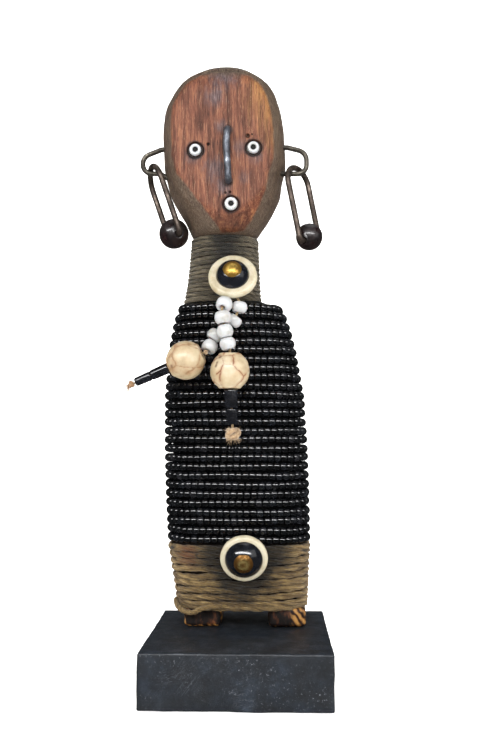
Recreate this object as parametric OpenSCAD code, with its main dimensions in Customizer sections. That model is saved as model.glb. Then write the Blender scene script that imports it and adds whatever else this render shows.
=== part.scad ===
// Beaded wooden doll on a block: one carved figure wrapped in seed beads and twine,
// with wire and bead face, hoop earrings that swing and a two-strand necklace that lifts.
// X is to the viewer's right, the face looks along -Y, Z is up, the origin is the
// middle of the block's underside.

/* [Base block] */
// Width of the block
base_w = 78; // [70:1:110]
// Depth of the block
base_d = 80; // [78:1:110]
// Height of the block
base_h = 22.5; // [18:0.5:40]
// Rounding of the block's edges
base_round = 2.5; // [1:0.5:4]

/* [Carved figure] */
// Height of the feet below the hem
foot_h = 8.5; // [6:0.5:14]
// Height of the twine-wound hem
hem_h = 28; // [18:1:36]
// Height of the beaded robe
robe_h = 112; // [90:1:140]
// Height of the wound neck
neck_h = 30.5; // [26:0.5:40]
// Height of the head
head_h = 83.8; // [72:0.2:100]
// Widest width over the beads
robe_w = 67.5; // [60:0.5:72]
// Depth over the beads
robe_d = 37.6; // [34:0.2:42]
// Widest width of the head
head_w = 58.5; // [50:0.5:66]
// Distance from the block's middle back to the figure's middle
set_back = 18; // [12:0.5:20]

/* [Wraps] */
// Diameter of one seed bead
seed_d = 4; // [3:0.1:5]
// Space between two rows of seed beads
seed_gap = 0.07; // [0.05:0.01:0.3]
// Diameter of the hem twine
hem_twine_d = 3; // [2:0.1:4]
// Diameter of the neck twine
neck_twine_d = 2; // [1.5:0.1:2.6]

/* [Medallions] */
// Diameter of the collar disc
collar_disc_d = 22.4; // [18:0.2:26]
// Diameter of the hem disc
hem_disc_d = 21; // [17:0.2:25]
// Thickness of both discs
disc_t = 3.8; // [2:0.1:5]
// Diameter of the collar dome
collar_dome_d = 15.2; // [12:0.2:18]
// Diameter of the hem dome
hem_dome_d = 16.6; // [12:0.2:17]
// Height that a whole dome would have
dome_h = 5.6; // [4:0.1:6.5]
// Diameter of a tack's head
tack_head_d = 8.4; // [5:0.2:9]
// Diameter of a tack's shank
tack_shank_d = 1.6; // [1:0.1:2.5]

/* [Face] */
// Diameter of the eye beads
eye_d = 6; // [4:0.1:8]
// Diameter of the mouth bead
mouth_d = 6.5; // [4:0.1:8]
// Diameter of the pins through the eye and mouth beads
face_pin_d = 2.3; // [1.5:0.1:3]
// Diameter of the nose wire
nose_wire_d = 3.2; // [2:0.1:4]
// Length of the nose
nose_l = 27; // [18:1:32]

/* [Earrings] */
// Diameter of the wire in the ears
ear_wire_d = 2.4; // [1.6:0.1:3]
// Diameter of the wire of the hoops
hoop_wire_d = 2.8; // [2:0.1:3.2]
// Length of a hoop from its top bend to its bottom bar
hoop_l = 33.8; // [31:0.2:42]
// Diameter of the left earring's ball
ball_left_d = 14; // [11:0.5:15]
// Diameter of the right earring's ball
ball_right_d = 12.6; // [10:0.5:14]
// Running clearance all round between a ball's bore and its wire
ball_clear = 0.08; // [0.04:0.01:0.1]

/* [Necklace] */
// Diameter of the white beads
bead_d = 7.4; // [6:0.1:7.8]
// Length of the white beads
bead_l = 5.4; // [4:0.1:5.8]
// Diameter of the two large beads
big_bead_d = 17.2; // [13:0.2:17.6]
// Diameter of the bores in all the necklace beads
bead_bore_d = 2.4; // [1.8:0.1:3]
// Diameter of the necklace string
string_d = 1.2; // [0.8:0.1:1.4]

/* [Hidden] */
$fn = 48;
eps = 0.01;
grain = 32;                    // points round one section of the figure

// levels, from the ground up
sole_z = base_h;
hem_z = sole_z + foot_h;
robe_z = hem_z + hem_h;
shoulder_z = robe_z + robe_h;
chin_z = shoulder_z + neck_h;
crown_z = chin_z + head_h;
face_y = -3;                   // the flat plane of the face
neck_w = 34;                   // over the twine
neck_d = 27;

// outlines: [share of the height, share of the widest width, sideways shift of the middle]
hem_outline = [[0, 0.895, 0.6], [0.5, 0.94, -0.2], [1, 0.985, -1]];
robe_outline = [[0, 0.985, -1], [0.2, 1, -1.8], [0.4, 1, -2.5], [0.6, 0.98, -3.2],
    [0.8, 0.9, -4.4], [0.92, 0.81, -5], [1, 0.7, -5.4]];
neck_outline = [[0, 1.1, -9], [0.25, 1.04, -8.6], [0.55, 1, -8.3], [1, 0.95, -8]];
head_outline = [[0.016, 0.54, -7.9], [0.052, 0.6, -7.6], [0.103, 0.68, -7.1], [0.176, 0.8, -7.3],
    [0.248, 0.895, -7.6], [0.32, 0.94, -8.1], [0.434, 1, -8], [0.588, 1, -8.6], [0.712, 0.96, -8.8],
    [0.806, 0.87, -8.3], [0.871, 0.76, -8], [0.934, 0.54, -7.6], [0.968, 0.36, -7.5],
    [0.99, 0.17, -8.2]];
function at(outline, t, i) = lookup(t, [for (s = outline) [s[0], s[i]]]);

// a section: [z, middle x, half width, middle y, front half depth, back half depth, squareness]
function hem_section(t, cover) = let (w = robe_w / 2 * at(hem_outline, t, 1))
    [hem_z + t * hem_h, at(hem_outline, t, 2), w - cover, set_back,
     robe_d / 2 - cover, robe_d / 2 - cover, 3];
function robe_section(t, cover) = let (w = robe_w / 2 * at(robe_outline, t, 1),
    d = robe_d / 2 * lookup(t, [[0, 1], [0.8, 1], [0.92, 0.94], [1, 0.84]]))
    [robe_z + t * robe_h, at(robe_outline, t, 2), w - cover, set_back, d - cover, d - cover,
     3 - 0.5 * max(0, t - 0.6) / 0.4];
function neck_section(t, cover) = let (w = neck_w / 2 * at(neck_outline, t, 1))
    [shoulder_z + t * neck_h, at(neck_outline, t, 2), w - cover, set_back,
     neck_d / 2 - cover, neck_d / 2 - cover, 2.3];
function head_section(t) = let (s = at(head_outline, t, 1))
    [chin_z + t * head_h, at(head_outline, t, 2), head_w / 2 * s, 17, 30 * s, 20 * s, 2.2];

// one point of a section at angle a, with the face plane cutting the front flat
function curve(v, p) = sign(v) * pow(abs(v), 2 / p);
function rim(s, a) = [s[1] + s[2] * curve(cos(a), s[6]),
    s[3] + (sin(a) < 0 ? s[4] : s[5]) * curve(sin(a), s[6]), s[0]];
function cut_rim(s, a) = let (p = rim(s, a)) [p[0], max(p[1], face_y), p[2]];
function unit(v) = v / norm(v);
function outward(s, a) = let (t = rim(s, a + 1) - rim(s, a - 1)) unit([t[1], -t[0], 0]);

// a closed solid through rings of n points each
module skin(rings, n) {
    last = len(rings) - 1;
    polyhedron(points = [for (r = rings, p = r) p],
        faces = concat([[for (i = [0:n - 1]) i]],
            [[for (i = [n - 1:-1:0]) last * n + i]],
            [for (k = [0:last - 1], i = [0:n - 1]) let (j = (i + 1) % n)
                each [[k * n + i, (k + 1) * n + i, (k + 1) * n + j],
                      [k * n + i, (k + 1) * n + j, k * n + j]]]));
}

// a closed ring or an open run of tube through points c with directions o across and z up
module wrap(c, o, r, sides, closed) {
    n = len(c);
    points = [for (k = [0:n - 1], i = [0:sides - 1])
        c[k] + r * (cos(360 * i / sides) * o[k] + sin(360 * i / sides) * [0, 0, 1])];
    runs = closed ? n : n - 1;
    sides_faces = [for (k = [0:runs - 1], i = [0:sides - 1])
        let (m = (k + 1) % n, j = (i + 1) % sides)
        each [[k * sides + i, m * sides + j, m * sides + i],
              [k * sides + i, k * sides + j, m * sides + j]]];
    ends = closed ? [] : [[for (i = [sides - 1:-1:0]) i],
        [for (i = [0:sides - 1]) (n - 1) * sides + i]];
    polyhedron(points = points, faces = concat(sides_faces, ends));
}

// a tube with eight sides along a cord's points
module cord(points, d) {
    n = len(points);
    along = [for (k = [0:n - 1]) unit(points[min(k + 1, n - 1)] - points[max(k - 1, 0)])];
    rings = [for (k = [0:n - 1]) let (u = unit(cross(along[k], [0, 1, 0])),
        v = cross(along[k], u))
        [for (i = [0:7]) points[k] + d / 2 * (cos(45 * i) * u + sin(45 * i) * v)]];
    skin(rings, 8);
}

// a straight round bar from a to b
module bar(a, b, r) {
    z = unit(b - a);
    x = unit(cross(abs(z[2]) < 0.9 ? [0, 0, 1] : [1, 0, 0], z));
    y = cross(z, x);
    multmatrix([[x[0], y[0], z[0], a[0]], [x[1], y[1], z[1], a[1]],
                [x[2], y[2], z[2], a[2]], [0, 0, 0, 1]])
        cylinder(h = norm(b - a), r = r);
}

// the points of a wire through corners p, bent round corner i with the radius bends[i]
function round_corner(q, u, v, bend) = let (turn = acos(u * v), m = q + unit(v - u) * bend / cos(turn / 2),
    x = unit(q - u * bend * tan(turn / 2) - m), steps = max(2, ceil(turn / 22)))
    [for (k = [0:steps]) m + bend * (cos(turn * k / steps) * x + sin(turn * k / steps) * u)];
function bent(p, bends) = let (last = len(p) - 1) concat([p[0]],
    [for (i = [1:last - 1]) each round_corner(p[i], unit(p[i] - p[i - 1]), unit(p[i + 1] - p[i]), bends[i])],
    [p[last]]);

// a round wire along points c, which lie in or near a plane with the normal flat
module wire(c, r, flat) {
    n = len(c);
    sides = 12;
    skin([for (k = [0:n - 1]) let (t = unit(unit(c[min(k + 1, n - 1)] - c[k] + eps * eps * flat)
            + unit(c[k] - c[max(k - 1, 0)] + eps * eps * flat)),
        u = unit(flat - (flat * t) * t), v = cross(t, u))
        [for (i = [0:sides - 1]) c[k] + r * (cos(360 * i / sides) * u + sin(360 * i / sides) * v)]], sides);
}

// moves a piece made on +Z so that its +Z points along d at the place q
module aim(q, d) {
    z = unit(d);
    x = unit(cross([0, 1, 0], z));
    y = cross(z, x);
    multmatrix([[x[0], y[0], z[0], q[0]], [x[1], y[1], z[1], q[1]],
                [x[2], y[2], z[2], q[2]], [0, 0, 0, 1]]) children();
}

// a ball with two flat ends and a bore, on +Z
module drilled_ball(d, l, bore) {
    difference() {
        intersection() {
            sphere(d = d);
            cube([2 * d, 2 * d, l], center = true);
        }
        cylinder(h = 2 * d, d = bore, center = true);
    }
}

// ---- block and figure ----

foot_w = 17;
foot_depth = 30;
foot_x = [-16.8, 21];
dowel_d = 5;
dowel_up = 6;
dowel_down = 12;
dowel_clear = 0.05;

module rounded_plate(w, d, r) {
    square([w - 2 * r, d], center = true);
    square([w, d - 2 * r], center = true);
    for (i = [-1, 1], j = [-1, 1]) translate([i * (w / 2 - r), j * (d / 2 - r)]) circle(r = r);
}

// a block with all twelve edges rounded, standing on z = 0
module rounded_block(w, d, h, r) translate([0, 0, h / 2]) intersection() {
    linear_extrude(h, center = true) rounded_plate(w, d, r);
    rotate([90, 0, 0]) linear_extrude(d, center = true) rounded_plate(w, h, r);
    rotate([90, 0, 90]) linear_extrude(w, center = true) rounded_plate(d, h, r);
}

module dowel_holes() {
    for (x = foot_x) translate([x, set_back, sole_z - dowel_down - dowel_clear])
        cylinder(h = dowel_up + dowel_down + 2 * dowel_clear, d = dowel_d + 2 * dowel_clear);
}

module base_block() {
    color("#17130f") difference() {
        rounded_block(base_w, base_d, base_h, base_round);
        dowel_holes();
    }
}

module foot_dowels() {
    color("#b98a55") for (x = foot_x) translate([x, set_back, sole_z - dowel_down])
        cylinder(h = dowel_up + dowel_down, d = dowel_d);
}

foot_round = 4;
module foot(x) translate([x, set_back, sole_z + eps])
    linear_extrude(foot_h + eps) rounded_plate(foot_w, foot_depth, foot_round);

wrap_clear = 0.07;             // between the wood and what is wound on it
figure_sections = concat(
    [for (t = [0, 0.5, 1]) hem_section(t, hem_twine_d + wrap_clear)],
    [for (t = [0.02, 0.2, 0.4, 0.6, 0.7, 0.8, 0.87, 0.92, 0.985]) robe_section(t, seed_d + wrap_clear)],
    [for (t = [0, 0.25, 0.55, 0.98]) neck_section(t, neck_twine_d + 2 * wrap_clear)],
    [for (s = head_outline) head_section(s[0])],
    [[crown_z, -8.6, 2, 17, 2, 2, 2]]);

face_pins = [[-20.5, 238.8], [6.2, 239.6], [-4, 213.4]];   // [x, z] of the eyes and mouth
pocket_d = 7.6;
pocket_depth = 0.9;
face_shift = chin_z - 201.5;

module carved_figure() {
    color("#7c4a31") difference() {
        union() {
            skin([for (s = figure_sections) [for (i = [0:grain - 1]) cut_rim(s, 360 * i / grain)]],
                grain);
            for (x = foot_x) foot(x);
        }
        for (p = face_pins) translate([p[0], face_y + pocket_depth, p[1] + face_shift])
            rotate([90, 0, 0]) cylinder(h = pocket_depth + 2, d = pocket_d);
        dowel_holes();
    }
}

// ---- wraps ----

function wound(t) = hem_section(t, hem_twine_d / 2);
hem_pitch = hem_twine_d + 0.06;
hem_turns = (hem_h - hem_twine_d - 0.3) / hem_pitch;

module hem_twine() {
    steps = floor(hem_turns * grain);
    s = [for (k = [0:steps]) let (z = hem_twine_d / 2 + 0.15 + k / grain * hem_pitch)
        wound(z / hem_h)];
    turn = 360 / grain;
    color("#6d5a38") wrap([for (k = [0:steps]) rim(s[k], turn * k + 90)],
        [for (k = [0:steps]) outward(s[k], turn * k + 90)], hem_twine_d / 2, 6, false);
}

neck_grain = 24;
neck_pitch = neck_twine_d + 0.06;
neck_turns = (neck_h - neck_twine_d - 1.2) / neck_pitch;

module neck_twine() {
    steps = floor(neck_turns * neck_grain);
    turn = 360 / neck_grain;
    s = [for (k = [0:steps]) let (z = neck_twine_d / 2 + 0.3 + k / neck_grain * neck_pitch)
        neck_section(z / neck_h, neck_twine_d / 2)];
    color("#7a7060") wrap([for (k = [0:steps]) rim(s[k], turn * k + 90)],
        [for (k = [0:steps]) outward(s[k], turn * k + 90)], neck_twine_d / 2, 5, false);
}

seed_pitch = seed_d + seed_gap;
seed_rows = floor((robe_h - 0.4) / seed_pitch);
rows_share = ceil(seed_rows / 3);

// the rows from first to last, each a closed ring as thick as its beads
module bead_rows(first, last) {
    color("#121214") for (k = [first:min(last, seed_rows - 1)]) {
        s = robe_section((0.4 + seed_pitch * (k + 0.5)) / robe_h, seed_d / 2);
        angles = [for (i = [0:grain - 1]) 360 * i / grain];
        wrap([for (a = angles) rim(s, a)], [for (a = angles) outward(s, a)], seed_d / 2, 6, true);
    }
}
module bead_rows_low() bead_rows(0, rows_share - 1);
module bead_rows_mid() bead_rows(rows_share, 2 * rows_share - 1);
module bead_rows_high() bead_rows(2 * rows_share, seed_rows - 1);

// ---- medallions ----

collar_tilt = 21;              // the collar medallion looks up
hem_tilt = -14;                // the hem medallion looks down
collar_at = [-3.2, -2.2, shoulder_z + 8.8];
hem_at = [2.1, -5.2, robe_z - 4.8];
tack_l = 20;
shank_clear = 0.05;
dome_lift = 0.02;

module face_out(q, tilt) translate(q) rotate([90 - tilt, 0, 0]) children();

module disc(d) {
    difference() {
        rotate_extrude() union() {
            translate([0, -disc_t / 2]) square([d / 2 - disc_t / 2, disc_t]);
            intersection() {
                translate([d / 2 - disc_t / 2, 0]) circle(d = disc_t);
                translate([0, -disc_t / 2]) square([d, disc_t]);
            }
        }
        cylinder(h = 2 * disc_t, d = tack_shank_d + 2 * shank_clear, center = true);
    }
}

function dome_r(d) = (d * d / 4 + dome_h * dome_h) / (2 * dome_h);
function seat_h(d) = dome_h - dome_r(d) + sqrt(pow(dome_r(d), 2) - pow(tack_head_d / 2, 2));

module dome(d) {
    h = seat_h(d);
    translate([0, 0, disc_t / 2 + dome_lift]) difference() {
        intersection() {
            translate([0, 0, dome_h - dome_r(d)]) sphere(r = dome_r(d));
            translate([0, 0, h / 2]) cube([2 * d, 2 * d, h], center = true);
        }
        cylinder(h = 4 * h, d = tack_shank_d + 2 * shank_clear, center = true);
    }
}

module tack(d) {
    cap_h = 1.6;
    cap_r = (pow(tack_head_d / 2, 2) + cap_h * cap_h) / (2 * cap_h);
    translate([0, 0, disc_t / 2 + 2 * dome_lift + seat_h(d)]) union() {
        intersection() {
            translate([0, 0, cap_h - cap_r]) sphere(r = cap_r);
            translate([0, 0, cap_h]) cube([2 * tack_head_d, 2 * tack_head_d, 2 * cap_h], center = true);
        }
        translate([0, 0, -tack_l]) cylinder(h = tack_l + 0.3, d = tack_shank_d);
    }
}

module collar_disc() color("#d8cfae") face_out(collar_at, collar_tilt) disc(collar_disc_d);
module collar_dome() color("#16161a") face_out(collar_at, collar_tilt) dome(collar_dome_d);
module collar_tack() color("#b99a4c") face_out(collar_at, collar_tilt) tack(collar_dome_d);
module hem_disc() color("#d8cfae") face_out(hem_at, hem_tilt) disc(hem_disc_d);
module hem_dome() color("#16161a") face_out(hem_at, hem_tilt) dome(hem_dome_d);
module hem_tack() color("#8a7038") face_out(hem_at, hem_tilt) tack(hem_dome_d);

// ---- face ----

nose_x = -5.6;
nose_top = chin_z + 48;
nose_out = 3.2;                // how far the nose stands off the face
pin_in = 9;

module nose_wire() {
    y = face_y - nose_out;
    low = nose_top - nose_l;
    r = nose_wire_d / 2;
    color("#4a4038") wire(bent([[nose_x, 4, nose_top - r], [nose_x, y, nose_top - r],
        [nose_x - 0.7, y - 0.4, nose_top - 7.5], [nose_x + 0.5, y, low + r],
        [nose_x + 0.5, 4, low + r]], [0, 2, 8, 2, 0]), r, [1, 0, 0]);
}

// a round bead lying flat on the face, sunk into its pocket
module face_bead(i, d) {
    l = 2.6;
    color("#e8e6df") translate([face_pins[i][0], face_y + pocket_depth - l / 2, face_pins[i][1] + face_shift])
        rotate([90, 0, 0]) drilled_ball(d * 1.04, l, face_pin_d + 0.2);
}
module face_pin(i) {
    color("#3b352f") translate([face_pins[i][0], face_y + pocket_depth + pin_in, face_pins[i][1] + face_shift])
        rotate([90, 0, 0]) cylinder(h = pin_in + 2.3, d = face_pin_d);
}
module eye_bead_left() face_bead(0, eye_d);
module eye_bead_right() face_bead(1, eye_d);
module mouth_bead() face_bead(2, mouth_d);
module eye_pin_left() face_pin(0);
module eye_pin_right() face_pin(1);
module mouth_pin() face_pin(2);

// ---- earrings ----
// each ear is a wire loop with both ends in the wood; a hoop hangs in it with a ball on its bar

ear_y = 8.5;
function on_ear(p) = [for (q = p) [q[0], ear_y, q[1] + face_shift]];
left_hang = on_ear([[-41.6, 231.8]])[0];    // middle of the ear wire under the hoop
right_hang = on_ear([[26.2, 231]])[0];
hang_gap = 0.35;               // between the ear wire and the hoop that rests on it

// corners as [x, z] from wood to wood
left_ear = [[-30, 243.5], [-37.6, 243.5], [-46.6, 240], [-46.6, 231.8], [-38.4, 231.8], [-30, 226.4]];
right_ear = [[13, 243.8], [22, 243.8], [31, 241.4], [31, 231], [22.6, 231], [13, 231.4]];
ear_bends = [0, 3, 3.4, 3.6, 3, 0];
module ear_loop_left() color("#3c3a36")
    wire(bent(on_ear(left_ear), ear_bends), ear_wire_d / 2, [0, 1, 0]);
module ear_loop_right() color("#3c3a36")
    wire(bent(on_ear(right_ear), ear_bends), ear_wire_d / 2, [0, 1, 0]);

// a hoop in its own frame: two legs, a round top and a bottom bar that tips down to the front;
// swing turns it about Z and lean tips it sideways, with the ear wire's middle at the origin
bar_tip = 20;
corner_bend = 1.8;
bar_lap = 0.2;                 // the bar runs on into the bends by this much
module hoop_frame(hang, swing, lean) translate(hang) rotate([0, lean, 0]) rotate([0, 0, swing]) children();
hoop_top = ear_wire_d / 2 + hang_gap + hoop_wire_d / 2;
hoop_low = hoop_top - hoop_l;

module hoop(ball_d) {
    r = hoop_wire_d / 2;
    w = ball_d / 2 + r + 0.35;
    way = [0, cos(bar_tip), sin(bar_tip)];
    front = [0, 0, hoop_low] - w / cos(bar_tip) * way;
    rear = [0, 0, hoop_low] + w / cos(bar_tip) * way;
    front_trim = corner_bend * tan((90 + bar_tip) / 2);
    rear_trim = corner_bend * tan((90 - bar_tip) / 2);
    frame = bent([front + front_trim * way, front, [0, -w, hoop_top], [0, w, hoop_top],
        rear, rear - rear_trim * way], [0, corner_bend, w - eps, w - eps, corner_bend, 0]);
    union() {
        wire([for (k = [1:len(frame) - 2]) frame[k]], 0.985 * r, [1, 0, 0]);
        bar(front + (front_trim - bar_lap) * way, rear - (rear_trim - bar_lap) * way, r);
    }
}
module hoop_ball(ball_d) translate([0, 0, hoop_low]) rotate([bar_tip - 90, 0, 0])
    drilled_ball(ball_d, ball_d, hoop_wire_d + 2 * ball_clear);

left_swing = 22;
left_lean = -19;
right_swing = -38;
right_lean = -11;
module hoop_left() color("#4b423a") hoop_frame(left_hang, left_swing, left_lean)
    hoop(ball_left_d);
module hoop_ball_left() color("#2a1512") hoop_frame(left_hang, left_swing, left_lean)
    hoop_ball(ball_left_d);
module hoop_right() color("#4b423a") hoop_frame(right_hang, right_swing, right_lean)
    hoop(ball_right_d);
module hoop_ball_right() color("#2a1512") hoop_frame(right_hang, right_swing, right_lean)
    hoop_ball(ball_right_d);

// ---- necklace ----
// points of the two strings, from under the collar disc to the knot at the end

front_route = [[-5.4, -2.9, 170.3], [-5.8, -5, 168.4], [-6.7, -7.9, 166.3], [-7.6, -9.9, 163.9],
    [-7.1, -10.8, 159.8], [-6.2, -10.4, 153.9], [-5, -9.8, 148.3], [-4, -9.8, 145.4]];
right_tail = [[-4, -9.8, 144], [-4, -9.8, 136.2], [-3.6, -9.6, 128], [-3.2, -9.4, 120],
    [-2.8, -9.2, 110]];
back_route = [[-1.6, -2.9, 170.3], [-0.4, -4.4, 168.8], [0, -5.2, 165.2], [-2.5, -4.6, 159.3],
    [-7, -4.4, 155.8], [-11.1, -4.8, 152.7], [-13.2, -6, 147.4], [-14.1, -7.4, 145.3]];
knot_small_at = [-14.8, -9, 144.6];
left_tail = [[-16.4, -9.2, 144.1], [-23.7, -8.8, 141.1], [-32.2, -7.9, 137.4],
    [-40, -7.1, 134], [-48, -6.3, 130.6]];

module string_front() color("#c9b48c") cord(front_route, string_d);
module string_back() color("#c9b48c") cord(back_route, string_d);
module tail_right() color("#c9b48c") cord(right_tail, string_d);
module tail_left() color("#c9b48c") cord(left_tail, string_d);

// a white bead centred on point i of a route, with its bore along the string there
module white_bead(route, i, w, l) color("#e9e7e0")
    aim(route[i], unit(route[i - 1] - route[i]) + unit(route[i] - route[i + 1]))
        drilled_ball(w, l, bead_bore_d);
module bead_front_1() white_bead(front_route, 2, bead_d, bead_l + 0.6);
module bead_front_2() white_bead(front_route, 4, bead_d + 0.2, bead_l);
module bead_front_3() white_bead(front_route, 5, bead_d, bead_l + 0.3);
module bead_front_4() white_bead(front_route, 6, bead_d - 0.2, bead_l);
module bead_back_1() white_bead(back_route, 2, bead_d - 0.4, bead_l - 0.6);
module bead_back_2() white_bead(back_route, 3, bead_d - 0.4, bead_l - 0.7);
module bead_back_3() white_bead(back_route, 5, bead_d - 0.4, bead_l - 0.7);
module bead_back_4() white_bead(back_route, 6, bead_d - 0.2, bead_l - 0.4);

// the large beads and the tubes turn on the straight ends of the strings
left_way = unit(left_tail[4] - left_tail[0]);
right_way = unit(right_tail[4] - right_tail[1]);
module big_bead_left() color("#e2dac2") aim(left_tail[1], left_way)
    drilled_ball(big_bead_d, 0.92 * big_bead_d, bead_bore_d);
module big_bead_right() color("#e2dac2") aim(right_tail[1], [0, 0, 1])
    drilled_ball(big_bead_d + 0.2, 0.91 * big_bead_d, bead_bore_d);

module tube(q, d, from, to, d1, d2) color("#17171b") aim(q + from * d, d)
    difference() {
        cylinder(h = to - from, d1 = d1, d2 = d2);
        translate([0, 0, -1]) cylinder(h = to - from + 2, d = bead_bore_d);
    }
tube_start = 0.46 * big_bead_d + 0.4;       // just past the large bead's flat end
module tube_left_inner() tube(left_tail[1], left_way, tube_start, tube_start + 8.6, 4.9, 4.5);
module tube_left_outer() tube(left_tail[1], left_way, tube_start + 8.9, tube_start + 16.3, 4.3, 3.8);
module tube_right_upper() tube(right_tail[1], right_way, tube_start, tube_start + 8.1, 6.2, 5.6);
module tube_right_lower() tube(right_tail[1], right_way, tube_start + 8.4, tube_start + 15.3, 5.3, 4.6);

knot_small_d = 2.4;
knot_left_d = 3.6;
knot_right_d = 7.4;
module knot_small() color("#c9b48c") translate(knot_small_at) sphere(d = knot_small_d);
module knot_left() color("#b59a72")
    translate(left_tail[1] + (tube_start + 16.6 + knot_left_d / 2) * left_way) sphere(d = knot_left_d);
module knot_right() color("#cdb78f")
    translate(right_tail[1] + (tube_start + 15.6 + knot_right_d / 2) * right_way) sphere(d = knot_right_d);

base_block();
foot_dowels();
carved_figure();
hem_twine();
neck_twine();
bead_rows_low();
bead_rows_mid();
bead_rows_high();
collar_disc();
collar_dome();
collar_tack();
hem_disc();
hem_dome();
hem_tack();
nose_wire();
eye_bead_left();
eye_bead_right();
eye_pin_left();
eye_pin_right();
mouth_bead();
mouth_pin();
ear_loop_left();
ear_loop_right();
hoop_left();
hoop_right();
hoop_ball_left();
hoop_ball_right();
string_front();
string_back();
tail_right();
tail_left();
bead_front_1();
bead_front_2();
bead_front_3();
bead_front_4();
bead_back_1();
bead_back_2();
bead_back_3();
bead_back_4();
knot_small();
big_bead_left();
big_bead_right();
tube_left_inner();
tube_left_outer();
tube_right_upper();
tube_right_lower();
knot_left();
knot_right();
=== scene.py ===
import math
import random

import bpy
from mathutils import Matrix, Vector, noise


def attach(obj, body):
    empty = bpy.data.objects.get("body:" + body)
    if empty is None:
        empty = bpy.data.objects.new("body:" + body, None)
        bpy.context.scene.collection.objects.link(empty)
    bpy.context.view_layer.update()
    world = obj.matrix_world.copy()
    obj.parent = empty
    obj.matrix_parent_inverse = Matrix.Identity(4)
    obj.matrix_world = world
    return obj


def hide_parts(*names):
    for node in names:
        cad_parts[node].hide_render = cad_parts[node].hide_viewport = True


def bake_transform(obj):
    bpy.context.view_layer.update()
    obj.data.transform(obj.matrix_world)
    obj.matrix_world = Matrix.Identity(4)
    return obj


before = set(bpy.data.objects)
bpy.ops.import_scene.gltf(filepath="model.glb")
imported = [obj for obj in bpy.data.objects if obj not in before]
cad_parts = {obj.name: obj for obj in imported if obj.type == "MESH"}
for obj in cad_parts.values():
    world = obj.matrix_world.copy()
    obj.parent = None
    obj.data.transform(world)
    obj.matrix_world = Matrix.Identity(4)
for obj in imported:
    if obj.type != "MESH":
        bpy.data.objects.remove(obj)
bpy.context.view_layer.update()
mm = 0.001


# small helpers

def paint(code):  # a hex colour as linear light
    parts = [int(code[i:i + 2], 16) / 255 for i in (1, 3, 5)]
    return [c / 12.92 if c <= 0.04045 else ((c + 0.055) / 1.055) ** 2.4 for c in parts] + [1.0]


def add(tree, kind, links=None, **settings):
    made = tree.nodes.new(kind)
    for key, value in settings.items():
        setattr(made, key, value)
    for socket, value in (links or {}).items():
        if isinstance(value, bpy.types.NodeSocket):
            tree.links.new(value, made.inputs[socket])
        else:
            made.inputs[socket].default_value = value
    return made


def calc(tree, kind, a, b=0.0):
    return add(tree, "ShaderNodeMath", {0: a, 1: b}, operation=kind).outputs[0]


def sweepPoints(corners, bends):  # a wire's line through corners, each bent round its own radius
    pts = [Vector(p) for p in corners]
    line = [pts[0]]
    for i in range(1, len(pts) - 1):
        u, v = (pts[i] - pts[i - 1]).normalized(), (pts[i + 1] - pts[i]).normalized()
        turn = math.acos(max(-1.0, min(1.0, u.dot(v))))
        if turn < 0.01:
            line.append(pts[i])
            continue
        middle = pts[i] + (v - u).normalized() * bends[i] / math.cos(turn / 2)
        x = (pts[i] - u * bends[i] * math.tan(turn / 2) - middle).normalized()
        steps = max(4, math.ceil(turn / 0.14))
        line += [middle + bends[i] * (math.cos(turn * k / steps) * x + math.sin(turn * k / steps) * u)
                 for k in range(steps + 1)]
    return line + [pts[-1]]


def spaced(line, step):  # the same line with points about a step apart
    line = [Vector(p) for p in line]
    along = [0.0]
    for a, b in zip(line, line[1:]):
        along.append(along[-1] + (b - a).length)
    count = max(2, round(along[-1] / step))
    out, k = [], 0
    for i in range(count + 1):
        s = along[-1] * i / count
        while k < len(line) - 2 and along[k + 1] < s:
            k += 1
        t = (s - along[k]) / max(along[k + 1] - along[k], 1e-9)
        out.append(line[k].lerp(line[k + 1], min(1.0, t)))
    return out


def smoothLine(points, step):  # a smooth line through the points
    pts = [Vector(p) for p in points]
    out = []
    for i in range(len(pts) - 1):
        p0, p1, p2, p3 = pts[max(i - 1, 0)], pts[i], pts[i + 1], pts[min(i + 2, len(pts) - 1)]
        for k in range(8):
            t = k / 8
            out.append(0.5 * (2 * p1 + (p2 - p0) * t + (2 * p0 - 5 * p1 + 4 * p2 - p3) * t * t
                              + (3 * p1 - p0 - 3 * p2 + p3) * t ** 3))
    return spaced(out + [pts[-1]], step)


def tube(line, radius, sides):  # skin round a line; radius is a number or a function of 0..1
    pts = [Vector(p) for p in line]
    points, faces = [], []
    n = len(pts)
    u = None
    for i, p in enumerate(pts):
        along = (pts[min(i + 1, n - 1)] - pts[max(i - 1, 0)]).normalized()
        if u is None:
            u = along.orthogonal().normalized()
        u = (u - along * u.dot(along)).normalized()
        v = along.cross(u)
        r = radius(i / (n - 1)) if callable(radius) else radius
        points += [p + r * (math.cos(a) * u + math.sin(a) * v)
                   for a in (2 * math.pi * k / sides for k in range(sides))]
    for i in range(n - 1):
        for k in range(sides):
            m = (k + 1) % sides
            faces.append((i * sides + k, i * sides + m, (i + 1) * sides + m, (i + 1) * sides + k))
    faces.append(tuple(range(sides - 1, -1, -1)))
    faces.append(tuple((n - 1) * sides + k for k in range(sides)))
    return points, faces


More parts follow.
